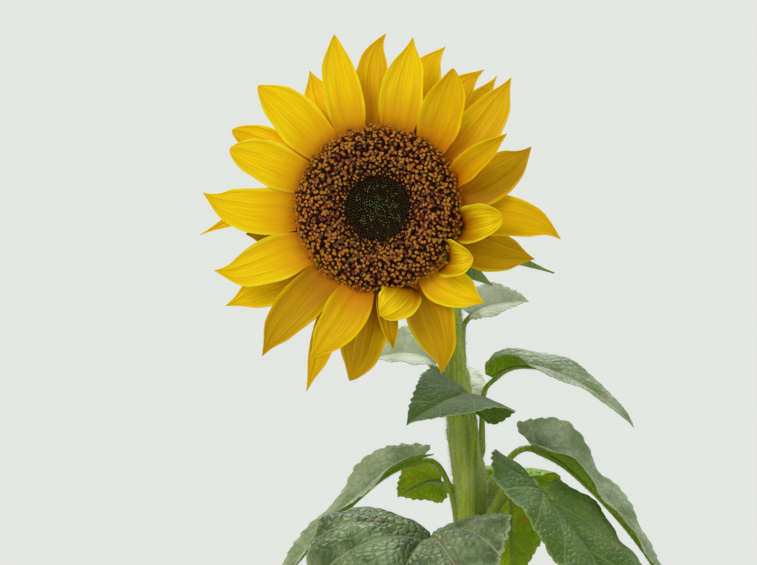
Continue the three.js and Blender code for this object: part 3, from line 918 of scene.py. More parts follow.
@dataclass(frozen=True)
class Leaf:
    """One leaf. Angles are in degrees, and lists are spread evenly along the stalk or the blade."""

    height: float  # where its line leaves the stem's middle
    turn: float  # its direction, 0 to the right of the flower's face and 90 behind it
    stalk: float
    blade: float
    width: float
    lobe: float  # how far the blade reaches back past the end of the stalk, in parts of its length
    climb: tuple  # the slope along the stalk
    fall: tuple  # the slope along the blade, from the last of climb
    swing: float  # how far the blade turns sideways
    fold: tuple  # how steeply the halves rise from the rib
    roll: tuple  # the turn about the rib
    arch: float  # how far the halves curl down again
    wave: float  # the ripple of the margins
    look: LeafLook = LeafLook.MATURE
    quilt: float = 1.0  # how far the blade swells between its veins
    teeth: float = 1.0  # how deep its teeth are
    patches: tuple = ()
    skew: float = 0.0  # how far its right half, seen from the stem, lies further back at the foot
    tier: Tier = Tier.UPPER

    BLADE_SLOPE = 0.85  # how far the side lines slant forward
    SKEW_REACH = 0.4  # the share of the blade over which its skew fades out
    SWING_LEAD = 0.15  # how far before the blade, in its lengths, the line starts to turn sideways
    RIB_REACH = 0.93  # how much of the blade the midrib runs along
    THICKNESS = 0.45
    TOOTH_HEIGHT = 0.26  # in parts of the teeth's spacing
    TOOTH = (0.0, 0.5, 0.85, 1.0)  # how high each cell of a tooth stands
    SWELL = 0.016  # how high the blade swells between its veins, in parts of its width
    PILLOW = 8.5  # the length of one swelling along a side vein
    CELL_WIDTH = 2.5  # across the blade
    FEWEST_ACROSS = 20

    def rib(self) -> Rib:
        """The line of the stalk and the midrib."""
        slopes = (self.climb[-1], *self.fall)

        def slope(s: Array) -> Array:
            """The slope in degrees at each length."""
            on_stalk = along(self.climb, s / self.stalk)
            return np.where(s < self.stalk, on_stalk, along(slopes, (s - self.stalk) / self.blade))

        def turn(s: Array) -> Array:
            """The sideways heading in degrees at each length."""
            return self.swing * np.clip((s - self.stalk) / self.blade + self.SWING_LEAD, 0.0, 1.0)

        return Rib(self.stalk + self.blade, slope, turn)

    def stalk_radius(self) -> float:
        """The stalk's radius."""
        return 1.1 + self.width / 38

    def ridge(self) -> Ridge:
        """The ridge that its stalk makes on the stem."""
        return Ridge(self.height, self.turn, self.stalk_radius())

    def outline(self, t: Array) -> tuple:
        """The blade's outline, t from 0 at the tip to 1 at the stalk, with the foot of each side line."""
        notch = smooth(t, 0.86, 1.0)
        x = (1 - self.lobe) / 2 + ((1 + self.lobe) / 2) * np.cos(math.pi * t) + self.lobe * notch
        y = np.clip(np.sin(math.pi * t**1.35), 0.0, 1.0) ** 1.25
        foot = np.maximum(x - self.BLADE_SLOPE * 0.5 * y, 0.0) + 0.02 * (1 - t)
        return x, y, foot

    def on_blade(self, rib: Rib, x: Array, y: Array, lift: Array) -> Array:
        """Where points of the flat blade lie on the living leaf.

        Args:
            rib: The leaf's line.
            x: How far along the rib from the stalk's end.
            y: How far across.
            lift: How far above the blade's middle layer.

        Returns:
            The points, before the leaf is turned and put on the stem.
        """
        share = np.clip(x / self.blade, 0.0, 1.0)
        frames = rib.frames(self.stalk + np.maximum(x, 0.0)).rolled(along(self.roll, share))
        half = self.width / 2
        v = np.abs(y) / half
        hand = np.where(y < 0, -1.0, 1.0)
        rise = np.radians(along(self.fold, share))
        curl = math.radians(self.arch)
        out = (half / curl) * (np.sin(rise) - np.sin(rise - curl * v))
        up = (half / curl) * (np.cos(rise - curl * v) - np.cos(rise))
        ripple = self.wave * v * v * np.sin(2.2 * math.pi * (x / self.blade) * 2 + hand)
        slant = rise - curl * v
        points = frames.placed(hand * (out - lift * np.sin(slant)), up + ripple + lift * np.cos(slant))
        return points + frames.ahead * np.minimum(x, 0.0)[:, None]

    def put(self, points: Array, base: Array) -> Array:
        """Turns the leaf's points about the stem and moves them to its foot."""
        return turned(points, self.turn) + base

    def swelling(self, order: Array, v: Array, y: Array) -> Array:
        """How far the blade stands above its middle layer: pillows between the veins and a sunk midrib."""
        swell = self.quilt * self.SWELL * self.width
        reach = np.abs(v) * self.width * 0.55
        cross = pillow(reach / self.PILLOW + 0.5 * (np.floor(order) % 2) + 0.25, 2.5)
        height = pillow(order, 2.5) ** 0.8 * (0.6 + 0.4 * cross)
        height *= smooth(np.abs(y), 0.0, 7.0) * (1 - np.abs(v) ** 8)
        return swell * height - 0.5 * np.exp(-((y / 1.6) ** 2))

    def build(self, number: int, stem: Stem, coat: HairCoat) -> None:
        """Builds the blade with its stalk and midrib as one piece.

        Args:
            number: The leaf's number from the top down.
            stem: The stem that carries it.
            coat: Takes in the stalk's hairs.
        """
        base = stem.line(np.array([stem.share_at(self.height)]))[0]
        rib = self.rib()
        blade = self.build_blade(number, rib, base)
        stalk = self.build_stalk(number, rib, base, coat)
        paint(blade, *self.look.value, LEAF_HEM)
        thicken(blade, self.THICKNESS, other_slots=True)
        paint(stalk, STALK_SKIN)
        whole = join([blade, stalk], f"leaf_blade_{number:02d}")
        smooth_shaded(whole)
        dress(whole, Slot.LEAF, replaces=(f"leaf_{number:02d}",))

    def build_blade(self, number: int, rib: Rib, base: Array) -> bpy.types.Object:
        """Builds the blade as a sheet with toothed margins and keeps what its finish reads."""
        half = self.width / 2
        fine = np.linspace(0.99, 0.004, 600)
        x, y, _ = self.outline(fine)
        steps = np.hypot(np.diff(x * self.blade), np.diff(y * half))
        arc = np.concatenate([[0.0], np.cumsum(steps)])
        spacing = 3.6 + 0.024 * self.blade
        cells = len(self.TOOTH) * max(8, round(arc[-1] / spacing))
        pairs = round(self.width / (2 * self.CELL_WIDTH))
        most_across, _ = self.tier.value
        across = int(np.clip(2 * pairs, self.FEWEST_ACROSS, most_across))
        piece, share, v = flat_grid(f"blade_{number:02d}", cells, across)
        row = np.round(share * cells)
        t = np.interp(share, arc / arc[-1], fine)
        x, y, foot = self.outline(t)
        dt = 0.0005
        x2, y2, _ = self.outline(t + dt)
        x1, y1, _ = self.outline(t - dt)
        tangent = unit(np.stack([(x2 - x1) * self.blade, (y2 - y1) * half], 1))
        tooth = np.array(self.TOOTH)[(row % len(self.TOOTH)).astype(int)] * smooth(y, 0.05, 0.35)
        tooth *= self.teeth * self.TOOTH_HEIGHT * spacing * (0.75 + 0.25 * np.sin(row * 1.3 + number))
        reach = tooth * np.abs(v) ** 7
        hand = np.where(v < 0, -1.0, 1.0)
        flat_x = (foot + (x - foot) * np.abs(v)) * self.blade + tangent[:, 1] * reach
        flat_x += self.skew * self.blade * v * np.clip(1 - x / self.SKEW_REACH, 0.0, 1.0) ** 2
        flat_y = y * v * half - hand * tangent[:, 0] * reach
        order = (2.0 + self.blade / 18.0) * (t + 0.03)
        lift = self.swelling(order, v, flat_y)
        crinkle = self.SWELL * self.width * self.quilt * np.abs(v) ** 3
        lift = lift + crinkle * np.sin(flat_x / 5.1 + 2 * hand) * np.sin(flat_x / 8.3 + number)
        move_vertices(piece, self.put(self.on_blade(rib, flat_x, flat_y, lift), base))
        lay_uv(piece, flat_x / FLAT_UNIT, flat_y / FLAT_UNIT)
        dry = np.zeros_like(v)
        for patch in self.patches:
            far = np.hypot(flat_x - patch.along * self.blade, flat_y - patch.across * half) / patch.radius
            dry = np.maximum(dry, 1.0 - far)
        for name, values in zip(BLADE_NUMBERS, (order, flat_y, np.abs(v), dry)):
            lay_attribute(piece, name, values)
        return piece

    def build_stalk(self, number: int, rib: Rib, base: Array, coat: HairCoat) -> bpy.types.Object:
        """Builds the stalk, grooved on top, which runs on under the blade as its midrib."""
        reach = self.stalk + self.RIB_REACH * self.blade
        radius = self.stalk_radius()

        def middle(u: Array) -> Frames:
            """The limb's frames: on the line at first, and sunk under the blade further out."""
            s = u * reach
            roll = along(self.roll, (s - self.stalk) / self.blade)
            frames = rib.frames(s).rolled(roll * np.clip(s / self.stalk, 0.0, 1.0))
            thin = thickness(s)
            sunk = (0.9 * thin + 0.3) * np.clip((s - self.stalk) / 8 + 1, 0.0, 1.0)
            point = frames.point - frames.face * sunk[:, None]
            directions = [turned(d, self.turn) for d in (frames.ahead, frames.side, frames.face)]
            return Frames(self.put(point, base), *directions)

        def thickness(s: Array) -> Array:
            """The limb's radius at each length."""
            on_stalk = along((1.35, 1.0, 0.95, 0.9, 0.82), s / self.stalk)
            on_blade = along((0.82, 0.5, 0.36, 0.26, 0.16), (s - self.stalk) / (reach - self.stalk))
            return radius * np.where(s < self.stalk, on_stalk, on_blade)

        def grooved(u: Array, turn: Array) -> Array:
            """The limb's radius all round, less the groove on top."""
            groove = 0.22 * np.exp(-(((turn - math.pi / 2) / 0.5) ** 2)) * smooth(u, 0.1, 0.3)
            return thickness(u * reach) * (1.0 - groove)

        tube = Tube(middle, grooved)
        stalk = tube.piece(f"stalk_{number:02d}", int(24 + reach / 3), 14)
        for name in BLADE_NUMBERS:
            lay_attribute(stalk, name, np.zeros(len(stalk.data.vertices)))
        rng = np.random.default_rng(RNG_SEED + number)
        _, hairs_per_mm = self.tier.value
        count = int(hairs_per_mm * reach * radius)
        u = rng.uniform(0.03, 0.95, count)
        turn = rng.uniform(-math.pi, math.pi, count)
        under_blade = u * reach > self.stalk
        turn = np.where(under_blade, -np.abs(turn), turn)
        long = rng.uniform(0.7, 1.9, count) * (0.5 + 0.5 * thickness(u * reach) / radius)
        coat.root_in(tube, u, turn, long)
        return stalk


UPPER_LEAVES = (
    Leaf(
        705, -4, 38, 36, 30, 0.08, (20, 95, 90, 85, 40), (14, 6, 0), 0, (34, 24), (46, 40), 25, 1,
        LeafLook.PALE, 0.5, 0.8,
    ),
    Leaf(
        672, 176, 43, 39, 44, 0.08, (10, 86, 78, 70, 50), (10, -8, -20), -8, (34, 24), (-32, -38), 20, 1,
        LeafLook.PALE, 0.5, 0.8,
    ),
    Leaf(
        668, 96, 34, 48, 42, 0.1, (20, 50, 45), (30, 15, 0), 0, (5, 5), (0, 0), 30, 1,
        LeafLook.PALE, 0.5, 0.8,
    ),
    Leaf(
        610, 274, 80, 93, 54, 0.12, (5, 92, 90, 88, 50), (0, -14, -26), -50, (14, 14), (-24, -24), 14, 1.5,
        LeafLook.MATT, 0.5, 0.9,
    ),
    Leaf(
        650, -4, 58, 98, 32, 0.04, (5, 92, 90, 86, 46), (0, -20, -30, -40, -48), -4, (70, 24, 18, 14, 12),
        (0, 18, 20, 20, 20), 14, 1.5, LeafLook.SILVER, 0.6, 0.6,
        patches=(DryPatch(0.42, 0.1, 7), DryPatch(0.62, -0.15, 9), DryPatch(0.74, 0.2, 8)),
    ),
    Leaf(
        606, -6, 76, 112, 44, 0.16, (10, 84, 76, 50, -22), (-42, -46, -50, -56, -62), -6, (54, 30, 24, 20),
        (34, 4, 6, 12), 18, 2.5, LeafLook.SILVER, 1.3, 1.0, skew=-0.05,
    ),
    Leaf(
        606, 184, 62, 138, 32, 0.1, (20, 84, 74, 59, -12), (-40, -44, -48, -53, -59), 4, (44, 30, 26, 22),
        (-26, -10, -8, -10), 14, 2.5, LeafLook.SILVER, 1.2, 1.0,
    ),
    Leaf(
        627, 142, 25, 31, 38, 0.08, (20, 40, 10), (-20, -28, -32), 24, (10, 10), (40, 46), 25, 1.5,
        LeafLook.YOUNG, 1.0, 1.1, patches=(DryPatch(0.5, 0.3, 7),),
    ),
    Leaf(
        600, 55, 58, 90, 66, 0.14, (20, 76, 62, 10), (-50, -84, -98, -106), 54, (10, 8), (0, 0), 25, 2.5,
        LeafLook.YOUNG, 1.0, 1.0, patches=(DryPatch(0.3, 0.4, 12), DryPatch(0.55, -0.3, 10)),
    ),
    Leaf(
        603, -48, 74, 140, 90, 0.17, (20, 62, 46, 26, -38), (-42, -52, -64, -74), 8, (16, 18, 14),
        (-10, -8, 0), 30, 3, LeafLook.MATURE, 1.0, 0.9, patches=(DryPatch(0.35, 0.5, 9),), skew=0.08,
    ),
    Leaf(
        552, 246, 86, 138, 120, 0.18, (45, 60, 50, 36, 10), (-35, -58, -70, -80), -6, (36, 22, 10),
        (0, 0), 40, 3, LeafLook.QUILTED, 1.6, 1.0,
        patches=(DryPatch(0.2, 0.35, 11), DryPatch(0.3, 0.6, 9), DryPatch(0.12, -0.5, 8)),
    ),
)


@dataclass
class Foliage:
    """All the leaves: the upper ones one by one, and the lower ones by a rule."""

    golden_angle: float = 137.5  # the turn from one lower leaf to the next
    lower_count: int = 13
    top_height: float = 494.0
    top_turn: float = 12.0
    bottom_height: float = 96.0
    full_size: tuple = (95, 160, 134)  # the stalk, length and width of a full-grown leaf

    def lower(self) -> list:
        """The lower leaves: the widest a third of the way down, the lowest drooping."""
        made = []
        for i in range(self.lower_count):
            share = i / (self.lower_count - 1)
            size = 0.86 + 0.3 * math.sin(math.pi * min(1.0, share * 1.15 + 0.12)) - 0.12 * share

            def between(first: float, last: float) -> float:
                """A value on the way from the first leaf's to the last one's."""
                return first + (last - first) * share

            height = self.top_height + (self.bottom_height - self.top_height) * share**0.92
            climb = (between(40, 30), between(62, 50), between(44, 34), between(22, 8))
            fall = (-12, between(-30, -38), between(-48, -56), between(-60, -66))
            roll = (5 * math.sin(i * 2.3), 5 * math.cos(i * 1.9))
            turn = self.top_turn + i * self.golden_angle
            swing = 8 * math.sin(i * 1.7)
            stalk, blade, width = (full * size for full in self.full_size)
            patch = DryPatch(0.3 + 0.1 * (i % 4), 0.6 * math.sin(i * 2.9), 10)
            leaf = Leaf(
                height, turn, stalk, blade, width, 0.16, climb, fall, swing, (30, 16), roll, 38, 3,
                patches=(patch,), tier=Tier.LOWER,
            )
            made.append(leaf)
        return made

    def leaves(self) -> list:
        """Every leaf from the top down."""
        return [*UPPER_LEAVES, *self.lower()]

    def build(self, stem: Stem) -> None:
        """Builds every leaf, and the stalks' hairs as one piece."""
        coat = HairCoat("stalk_hairs", np.random.default_rng(RNG_SEED + 99))
        for number, leaf in enumerate(self.leaves(), 1):
            leaf.build(number, stem, coat)
        coat.build(Slot.STEM)


# ---------- flower head ----------


@dataclass(frozen=True)
class Ray:
    """One ray petal, as it lies round the face. Angles are in degrees."""

    base: float  # the angle round the face where it starts
    tip: float  # and where it ends
    reach: float  # how far its tip is from the middle
    wide: float
    layer: float  # 0 is the front row
    pitch: tuple  # its slope off the face plane at the base, middle and tip
    cup: float  # how deep its section is hollowed
    roll: float = 0.0  # how far it has turned about its line by the tip
    hook: float = 0.0  # how far its tip bends sideways in its own plane
    curl: float = 0.0  # how far its tip curls forward
    blunt: float = 0.0  # 0 for a drawn-out tip, 1 for a round one

    BEND_START = 0.55  # the share of its bend that it leaves the foot with
    LAYER_STEP = 2.1  # how far each row lies behind the one in front
    THICKNESS = 0.8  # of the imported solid, which sets how far out the foot stands
    FINE_THICKNESS = 0.4
    SINK = 2.0  # how far its foot reaches in under the disc's edge
    FOOT_DEPTH = 0.2  # how far the front row's feet lie behind the face
    CELLS = (56, 32)  # faces along and across

    def half_width(self, u: Array, least: float) -> Array:
        """Half its width: narrow at the foot, broad in the middle, pointed at the tip."""
        swell = 0.64 + 0.36 * np.sin((math.pi / 2) * np.minimum(1.0, u / 0.45))
        taper = np.clip(1 - u ** (3.0 + 1.2 * self.blunt), 0.0, 1.0) ** (0.92 - 0.3 * self.blunt)
        beak = 1 - 0.42 * (1 - self.blunt) * smooth(u, 0.72, 0.96)
        return np.maximum(least, (self.wide / 2) * 1.2 * swell * taper * beak)

    def bend(self) -> float:
        """The angle between its line and the radius through its foot, in radians."""
        span = math.radians(self.tip - self.base)
        return math.atan2(self.reach * math.sin(span), self.reach * math.cos(span) - RIM_RADIUS)

    def start(self) -> float:
        """How far from the middle of the face it starts."""
        foot = float(self.half_width(np.array([0.0]), 0.6)[0])
        lean = math.sin(math.radians(max(0, self.pitch[0]))) * (self.THICKNESS + max(0, self.cup) * foot)
        return RIM_RADIUS + GAP + lean + 0.5 * foot * abs(math.sin(self.BEND_START * self.bend()))

    def build(self, number: int, look: Finish) -> None:
        """Builds the petal with its ribs, as one piece.

        Args:
            number: The ray's number, anticlockwise from the right.
            look: Its finish.
        """
        bend = self.bend()
        mean = (self.pitch[0] + 2 * self.pitch[1] + self.pitch[2]) / 4
        length = self.reach - RIM_RADIUS - GAP
        walked = length / math.cos(bend) / max(0.5, math.cos(math.radians(mean)))
        bends = math.degrees(bend)

        def turn(s: Array) -> Array:
            """The sideways heading in degrees at each length."""
            share = s / walked
            bow = bends * (self.BEND_START + (2 - 2 * self.BEND_START) * share)
            return bow + self.hook * (smooth(share, 0.6, 1.0) - 0.2)

        def slope(s: Array) -> Array:
            """The slope off the face plane in degrees at each length."""
            return along(self.pitch, s / walked) + self.curl * (smooth(s / walked, 0.65, 1.0) - 0.1)

        rib = Rib(walked, slope, turn)
        piece, u, v = flat_grid(f"petal_{number:02d}", *self.CELLS)
        s = u * (walked + self.SINK) - self.SINK
        frames = rib.frames(np.maximum(s, 0.0)).rolled(self.roll * u)
        half = self.half_width(u, 0.12)
        phase = number * 2.1
        body = np.sin(math.pi * np.clip(u * 1.04, 0, 1)) ** 0.6
        ribs = 0.55 * np.exp(-(((np.abs(v) - 0.36) / 0.12) ** 2)) - 0.45 * np.exp(-((v / 0.14) ** 2))
        pleats = 0.2 * np.cos(4.5 * math.pi * v + 0.8 * np.sin(3 * u + phase)) * (1 - v * v)
        pleats = pleats + 0.09 * np.cos(11 * math.pi * v + phase + 1.5 * np.sin(4 * u)) * (1 - v * v)
        rim = 0.7 * np.abs(v) ** 7 * body
        ruffle = 0.06 * half * v * np.abs(v) * np.sin(5.5 * u + phase) * smooth(u, 0.1, 0.5)
        ruffle = ruffle + 0.14 * np.sin(9 * u + phase * 1.7) * v
        uneven = 0.045 * np.sin(7 * u + phase) * np.sign(v) + 0.02 * np.sin(17 * u + phase * v)
        across = v * half * (1 + uneven)
        points = frames.placed(across, self.cup * half * v * v + (ribs + pleats) * body + rim + ruffle)
        points = points + frames.ahead * np.minimum(s, 0.0)[:, None]
        foot = polar(self.start(), math.radians(self.base), -self.FOOT_DEPTH - self.layer * self.LAYER_STEP)
        move_vertices(piece, in_head(turned(points, self.base) + foot))
        lay_uv(piece, u, 0.5 + 0.5 * v)
        thicken(piece, self.FINE_THICKNESS)
        smooth_shaded(piece, 75.0)
        dress(piece, Slot.RAY, look, replaces=(f"ray_{number:02d}",))


RAYS = (
    Ray(11, 22, 90, 23, 1, (12, 7, 2), 0.2, 10, hook=12),
    Ray(22, 28.5, 80, 13, -0.5, (40, 28, 16), 0.7, curl=-30),
    Ray(33, 44.5, 101, 23, 1, (14, 8, 4), 0.25, 8),
    Ray(44, 50, 101, 16, 3, (0, -6, -12), 0.2),
    Ray(51, 61.5, 85, 21, 0, (22, 16, 10), 0.35, 6, blunt=0.5),
    Ray(60, 53.5, 98, 19, 2, (6, 2, -2), 0.2, hook=-12),
    Ray(71, 69, 102, 21, 3, (0, -4, -8), 0.2, hook=-24),
    Ray(78, 79, 98, 22, 1, (14, 8, 2), 0.3, 6),
    Ray(96, 88, 100, 19, 2, (8, 4, 2), 0.3, hook=-26),
    Ray(110, 104.5, 101, 19, 1, (12, 8, 4), 0.25, blunt=0.4),
    Ray(121, 117, 91, 20, 3, (2, -4, -8), 0.15),
    Ray(131, 134.5, 98, 23, 1, (12, 6, 0), 0.15, blunt=0.6),
    Ray(141, 141.5, 79, 15, 3.3, (0, -6, -12), 0.2),
    Ray(147.5, 151.5, 97, 19, 2.1, (1, -2, -6), 0.3, blunt=0.8, curl=30),
    Ray(157, 158, 91, 21, 1, (14, 6, 0), 0.25, blunt=0.8),
    Ray(172, 187, 101, 8, 3, (0, -6, -12), 0.2, curl=30),
    Ray(183, 174.5, 99, 24, 1, (10, 4, 0), 0.15, hook=-20),
    Ray(192, 190, 77, 20, 2, (4, 0, -6), 0.2),
    Ray(208, 200.5, 98, 23, 1, (10, 4, 0), 0.2, hook=-22),
    Ray(218, 211.5, 102, 22, 3, (0, -4, -10), 0.2, curl=24),
    Ray(232, 232, 105, 22, 1, (10, 2, -6), 0.35, hook=10),
    Ray(246, 248, 110, 14, 3, (0, -6, -12), 0.2),
    Ray(258, 246.5, 90, 22, 0, (20, 8, -4), 0.3),
    Ray(266, 260.5, 97, 24, 2, (4, -2, -8), 0.15, hook=-14, blunt=0.5),
    Ray(276, 276.5, 80, 10, 0.8, (18, -4, -24), 0.5, curl=-16),
    Ray(290, 272, 58, 20, -0.6, (66, 28, -42), -0.2, blunt=0.8),
    Ray(298, 291, 98, 24, 2, (2, -6, -14), 0.2, hook=-20),
    Ray(309, 318.5, 78, 21, 1, (14, 8, -6), 0.15),
    Ray(324, 333, 56, 18, -0.3, (60, 34, 0), 0.5, blunt=0.8),
    Ray(338, 342.5, 91, 23, 3, (6, 0, -6), 0.15),
    Ray(348, 355, 67, 18, 0, (54, 30, 4), 0.5, blunt=1.0),
    Ray(358, 350.5, 103, 21, 2, (7, 2, -6), 0.25, hook=-26),
)


@dataclass
class Crown:
    """The ring of rays."""

    gold: Finish = Petal("petal_golden", "#e6bc00", 0.42, gloss=0.08, pale="#fcd808")
    # painted light: a lighter copy of the golden finish
    painted_lit: Finish = Petal("petal_painted_lit", "#f8d400", 0.42, gloss=0.08, warm="#e6a404")
    # painted shade: a darker copy of the golden finish
    painted_shaded: Finish = Petal("petal_painted_shade", "#cca000", 0.42, gloss=0.08, warm="#bc7e02", pale="#eec804")
    # painted light and shade: a bright blade, with a near-black foot for the shadow in its hollow
    curled: Finish = Petal(
        "petal_curled_painted_light_and_shade", "#f6d400", 0.42, gloss=0.08, foot="#4c2004", warm="#b46c04", blend=0.32
    )
    # The numbers of the rays in each look: the first list takes the lighter finish, which is painted light,
    # the second the darker one, which is painted shade, and the third the curled one, with painted light on
    # its blade and painted shade in its hollow foot. The rest are golden.
    painted_lit_rays: tuple = (4, 7, 8, 10, 11, 12, 13, 14, 15, 16, 17, 19, 20, 28)
    painted_shaded_rays: tuple = (1, 18, 21, 24, 25, 27, 30)
    curled_rays: tuple = (26, 29, 31)

    def build(self) -> None:
        """Builds every ray in one of four yellows, which paint in light and shade."""
        for number, ray in enumerate(RAYS, 1):
            look = self.painted_lit if number in self.painted_lit_rays else self.gold
            look = self.painted_shaded if number in self.painted_shaded_rays else look
            look = self.curled if number in self.curled_rays else look
            ray.build(number, look)


@dataclass
class Seats:
    """Where the copies of one small part stand in the head, one row each."""

    at: Array
    up: Array
    size: Array  # across and along
    spin: Array

    def fill(self, seed: Seed, name: str, chosen: Array, slot: Slot, look: Finish) -> None:
        """Stands a copy on each chosen seat and dresses them as one piece.

        Args:
            seed: The part.
            name: The piece's name.
            chosen: Which seats it takes.
            slot: A material slot name, handed on to dress, which does not use it.
            look: Its finish.
        """
        up = self.up[chosen] @ HEAD_AXES
        piece = seed.copies(name, in_head(self.at[chosen]), up, self.size[chosen], self.spin[chosen])
        dress(piece, slot, look)


@dataclass
class Disc:
    """The cushion of florets: open ones in a wide ring, and green buds in the sunken middle."""

    golden: float = math.radians(137.50776)  # the turn from one seat to the next
    spacing: float = 1.16  # the spiral's scale for open florets
    bud_spacing: float = 0.86
    bed_depth: float = 3.4  # how far below the florets' ends their bed lies
    bed_edge: float = 43.6  # where the bed's top ends
    bed_floor: float = 0.7  # the height of its flat underside
    edge: float = 44.2  # the outermost florets' radius
    inner_edge: float = 18.4  # and the innermost ones'
    bud_floor: float = 1.6  # the height of the buds' feet
    brown_share: float = 0.72  # how many florets have a brown tube and not an olive one
    crest_radii: tuple = (0, 6, 12, 17, 18.5, 22, 26, 33, 40, 43.5, 46)
    crest_heights: tuple = (4.8, 4.4, 4.2, 4.4, 5.0, 7.0, 9.0, DISC_CREST, 9.0, 4.6, 2.0)

    def crest(self, r: Array) -> Array:
        """The height of the florets' ends at radius r."""
        return np.interp(r, self.crest_radii, self.crest_heights)

    def lean(self, r: Array, angle: Array) -> Array:
        """The direction that a floret at a radius and an angle points in, in the head's frame."""
        slope = (self.crest(r + 1.5) - self.crest(r - 1.5)) / 3.0
        return unit(polar(-slope, angle, 1.0))

    def spiral(self, scale: float, inner: float, outer: float) -> tuple:
        """Radius and angle of the spiral's seats between two radii."""
        n = np.arange(int((inner / scale) ** 2), int((outer / scale) ** 2))
        return scale * np.sqrt(n + 0.5), n * self.golden

    def build(self) -> None:
        """Builds the bed, the florets, their stigmas and the buds."""
        self.build_bed()
        self.build_florets()
        self.build_buds()

    def build_bed(self) -> None:
        """Builds the dark bed between the florets as a closed cushion."""
        bevel = 0.1
        lip = 1.1  # the height of its edge
        top = np.linspace(0.0, self.bed_edge, 60)
        under = np.linspace(self.bed_edge - bevel, 0.0, 8)
        radii = np.concatenate([top, [self.edge - bevel, self.edge], under])
        flat = np.full(len(under) + 1, self.bed_floor)
        heights = np.concatenate([self.crest(top) - self.bed_depth, [lip], flat])
        heights = np.maximum(heights, self.bed_floor)
        piece, row, v = flat_grid("disc_bed", len(radii) - 1, 96)
        i = np.round(row * (len(radii) - 1)).astype(int)
        turn = math.pi * v
        on_top = (i > 3) & (i < len(top) - 2)
        lump = 0.25 * np.sin(radii[i] * 2.4) * np.sin(30 * turn) * on_top
        move_vertices(piece, in_head(polar(radii[i], turn, heights[i] + lump)))
        lay_uv(piece, row, 0.5 + 0.5 * v)
        weld(piece)
        smooth_shaded(piece)
        look = Finish("disc_floret_bed", "#3c1c0c", roughness=0.8)
        dress(piece, Slot.FLORET, look, replaces=("disc_rim", "disc_eye"))

    def build_florets(self) -> None:
        """Stands a dark tube on each seat of the ring, with two curled stigmas on it."""
        rng = np.random.default_rng(RNG_SEED + 1)
        r, angle = self.spiral(self.spacing, EYE_RADIUS + 0.6, self.edge)
        r = np.clip(r + rng.normal(0, 0.18, len(r)), self.inner_edge, self.edge)
        angle = angle + rng.normal(0, 0.012, len(r))
        up = self.lean(r, angle)
        up = unit(up + 0.34 * polar(1.0, angle, 0.0) + rng.normal(0, 0.12, up.shape))
        grown = rng.uniform(0.78, 1.08, len(r)) * np.interp(r, (18, 24, 40), (0.75, 0.95, 1.0))
        foot = polar(r, angle, self.crest(r) - self.bed_depth - 0.4)
        tall = self.bed_depth * grown

        def club(level: Array) -> Array:
            """Half the width of a floret's tube."""
            return 0.62 * np.sin(math.pi * np.clip(level, 0.02, 0.98)) ** 0.3

        tube = Seed.drawn_out(6, 5, club)
        seats = Seats(foot, up, np.stack([np.ones(len(r)), tall], 1), rng.uniform(0, 6.3, len(r)))
        is_brown = rng.random(len(r)) < self.brown_share
        brown = Finish("disc_floret_tube", "#642c10", roughness=0.6)
        olive = Finish("disc_floret_olive_tube", "#644218", roughness=0.6)
        seats.fill(tube, "floret_tubes_brown", is_brown, Slot.FLORET, brown)
        seats.fill(tube, "floret_tubes_olive", ~is_brown, Slot.FLORET, olive)
        self.build_stigmas(rng, r, foot + up * tall[:, None] * 0.9, seats)

    def build_stigmas(self, rng: np.random.Generator, r: Array, top: Array, tubes: Seats) -> None:
        """Curls two stigmas out of each floret, in four shades, golden towards the rim.

        Args:
            rng: Where the random numbers come from.
            r: The florets' radii.
            top: The upper ends of their tubes.
            tubes: How the tubes stand.
        """

        def knobbed(level: Array) -> Array:
            """Half the width of a stigma: thin, with a knob above its middle."""
            knob = np.sqrt(np.clip(1 - ((level - 0.68) / 0.32) ** 2, 0.0, 1.0))
            return np.maximum(0.22, 0.86 * knob)

        arm = Seed.drawn_out(6, 7, knobbed)
        level = arm.points[:, 2]
        arm.points = np.stack([arm.points[:, 0] + 0.75 * level**1.4, arm.points[:, 1], 1.7 * level], 1)
        twice = np.repeat(np.arange(len(r)), 2)
        spin = tubes.spin[twice] + np.tile([0.0, math.pi], len(r)) + rng.normal(0, 0.5, len(twice))
        size = rng.uniform(0.88, 1.3, len(twice)) * np.interp(r[twice], (18, 22, 27), (0.4, 0.74, 1.0))
        seats = Seats(top[twice], tubes.up[twice], np.stack([size, size], 1), spin)
        out = np.clip((r[twice] - 30) / 13, 0, 1)
        pick = rng.random(len(twice))
        shares = [pick < 0.3 + 0.4 * out, pick < 0.55 + 0.3 * out, pick < 0.85 + 0.1 * out]
        kind = np.select(shares, [1, 0, 2], 3)
        shades = (("tan", "#a86426"), ("gold", "#ba7c1c"), ("rust", "#70301a"), ("olive", "#54401a"))
        for number, (shade, colour) in enumerate(shades):
            look = Finish(f"disc_stigmas_{shade}", colour, 0.5, gloss=0.25)
            seats.fill(arm, f"stigmas_{shade}", kind == number, Slot.FLORET, look)

    def build_buds(self) -> None:
        """Packs the middle with pointed buds, green at the centre and darker towards the ring."""
        rng = np.random.default_rng(RNG_SEED + 2)
        r, angle = self.spiral(self.bud_spacing, 0.0, EYE_RADIUS + 0.8)
        bow = 0.55 * np.clip(r / EYE_RADIUS, 0.15, 1.0)
        inward = bow[:, None] * polar(-1.0, angle, 0.0)
        up = unit(self.lean(r, angle) + inward + rng.normal(0, 0.16, (len(r), 3)))
        tall = (self.crest(r) - self.bud_floor) * rng.uniform(0.75, 1.1, len(r))
        size = np.stack([np.ones(len(r)), tall], 1)
        seats = Seats(polar(r, angle, self.bud_floor), up, size, rng.uniform(0, 6.3, len(r)))

        def pointed(level: Array) -> Array:
            """Half the width of a bud."""
            return 0.6 * np.clip(1.05 - level**2.2, 0.0, 1.0)

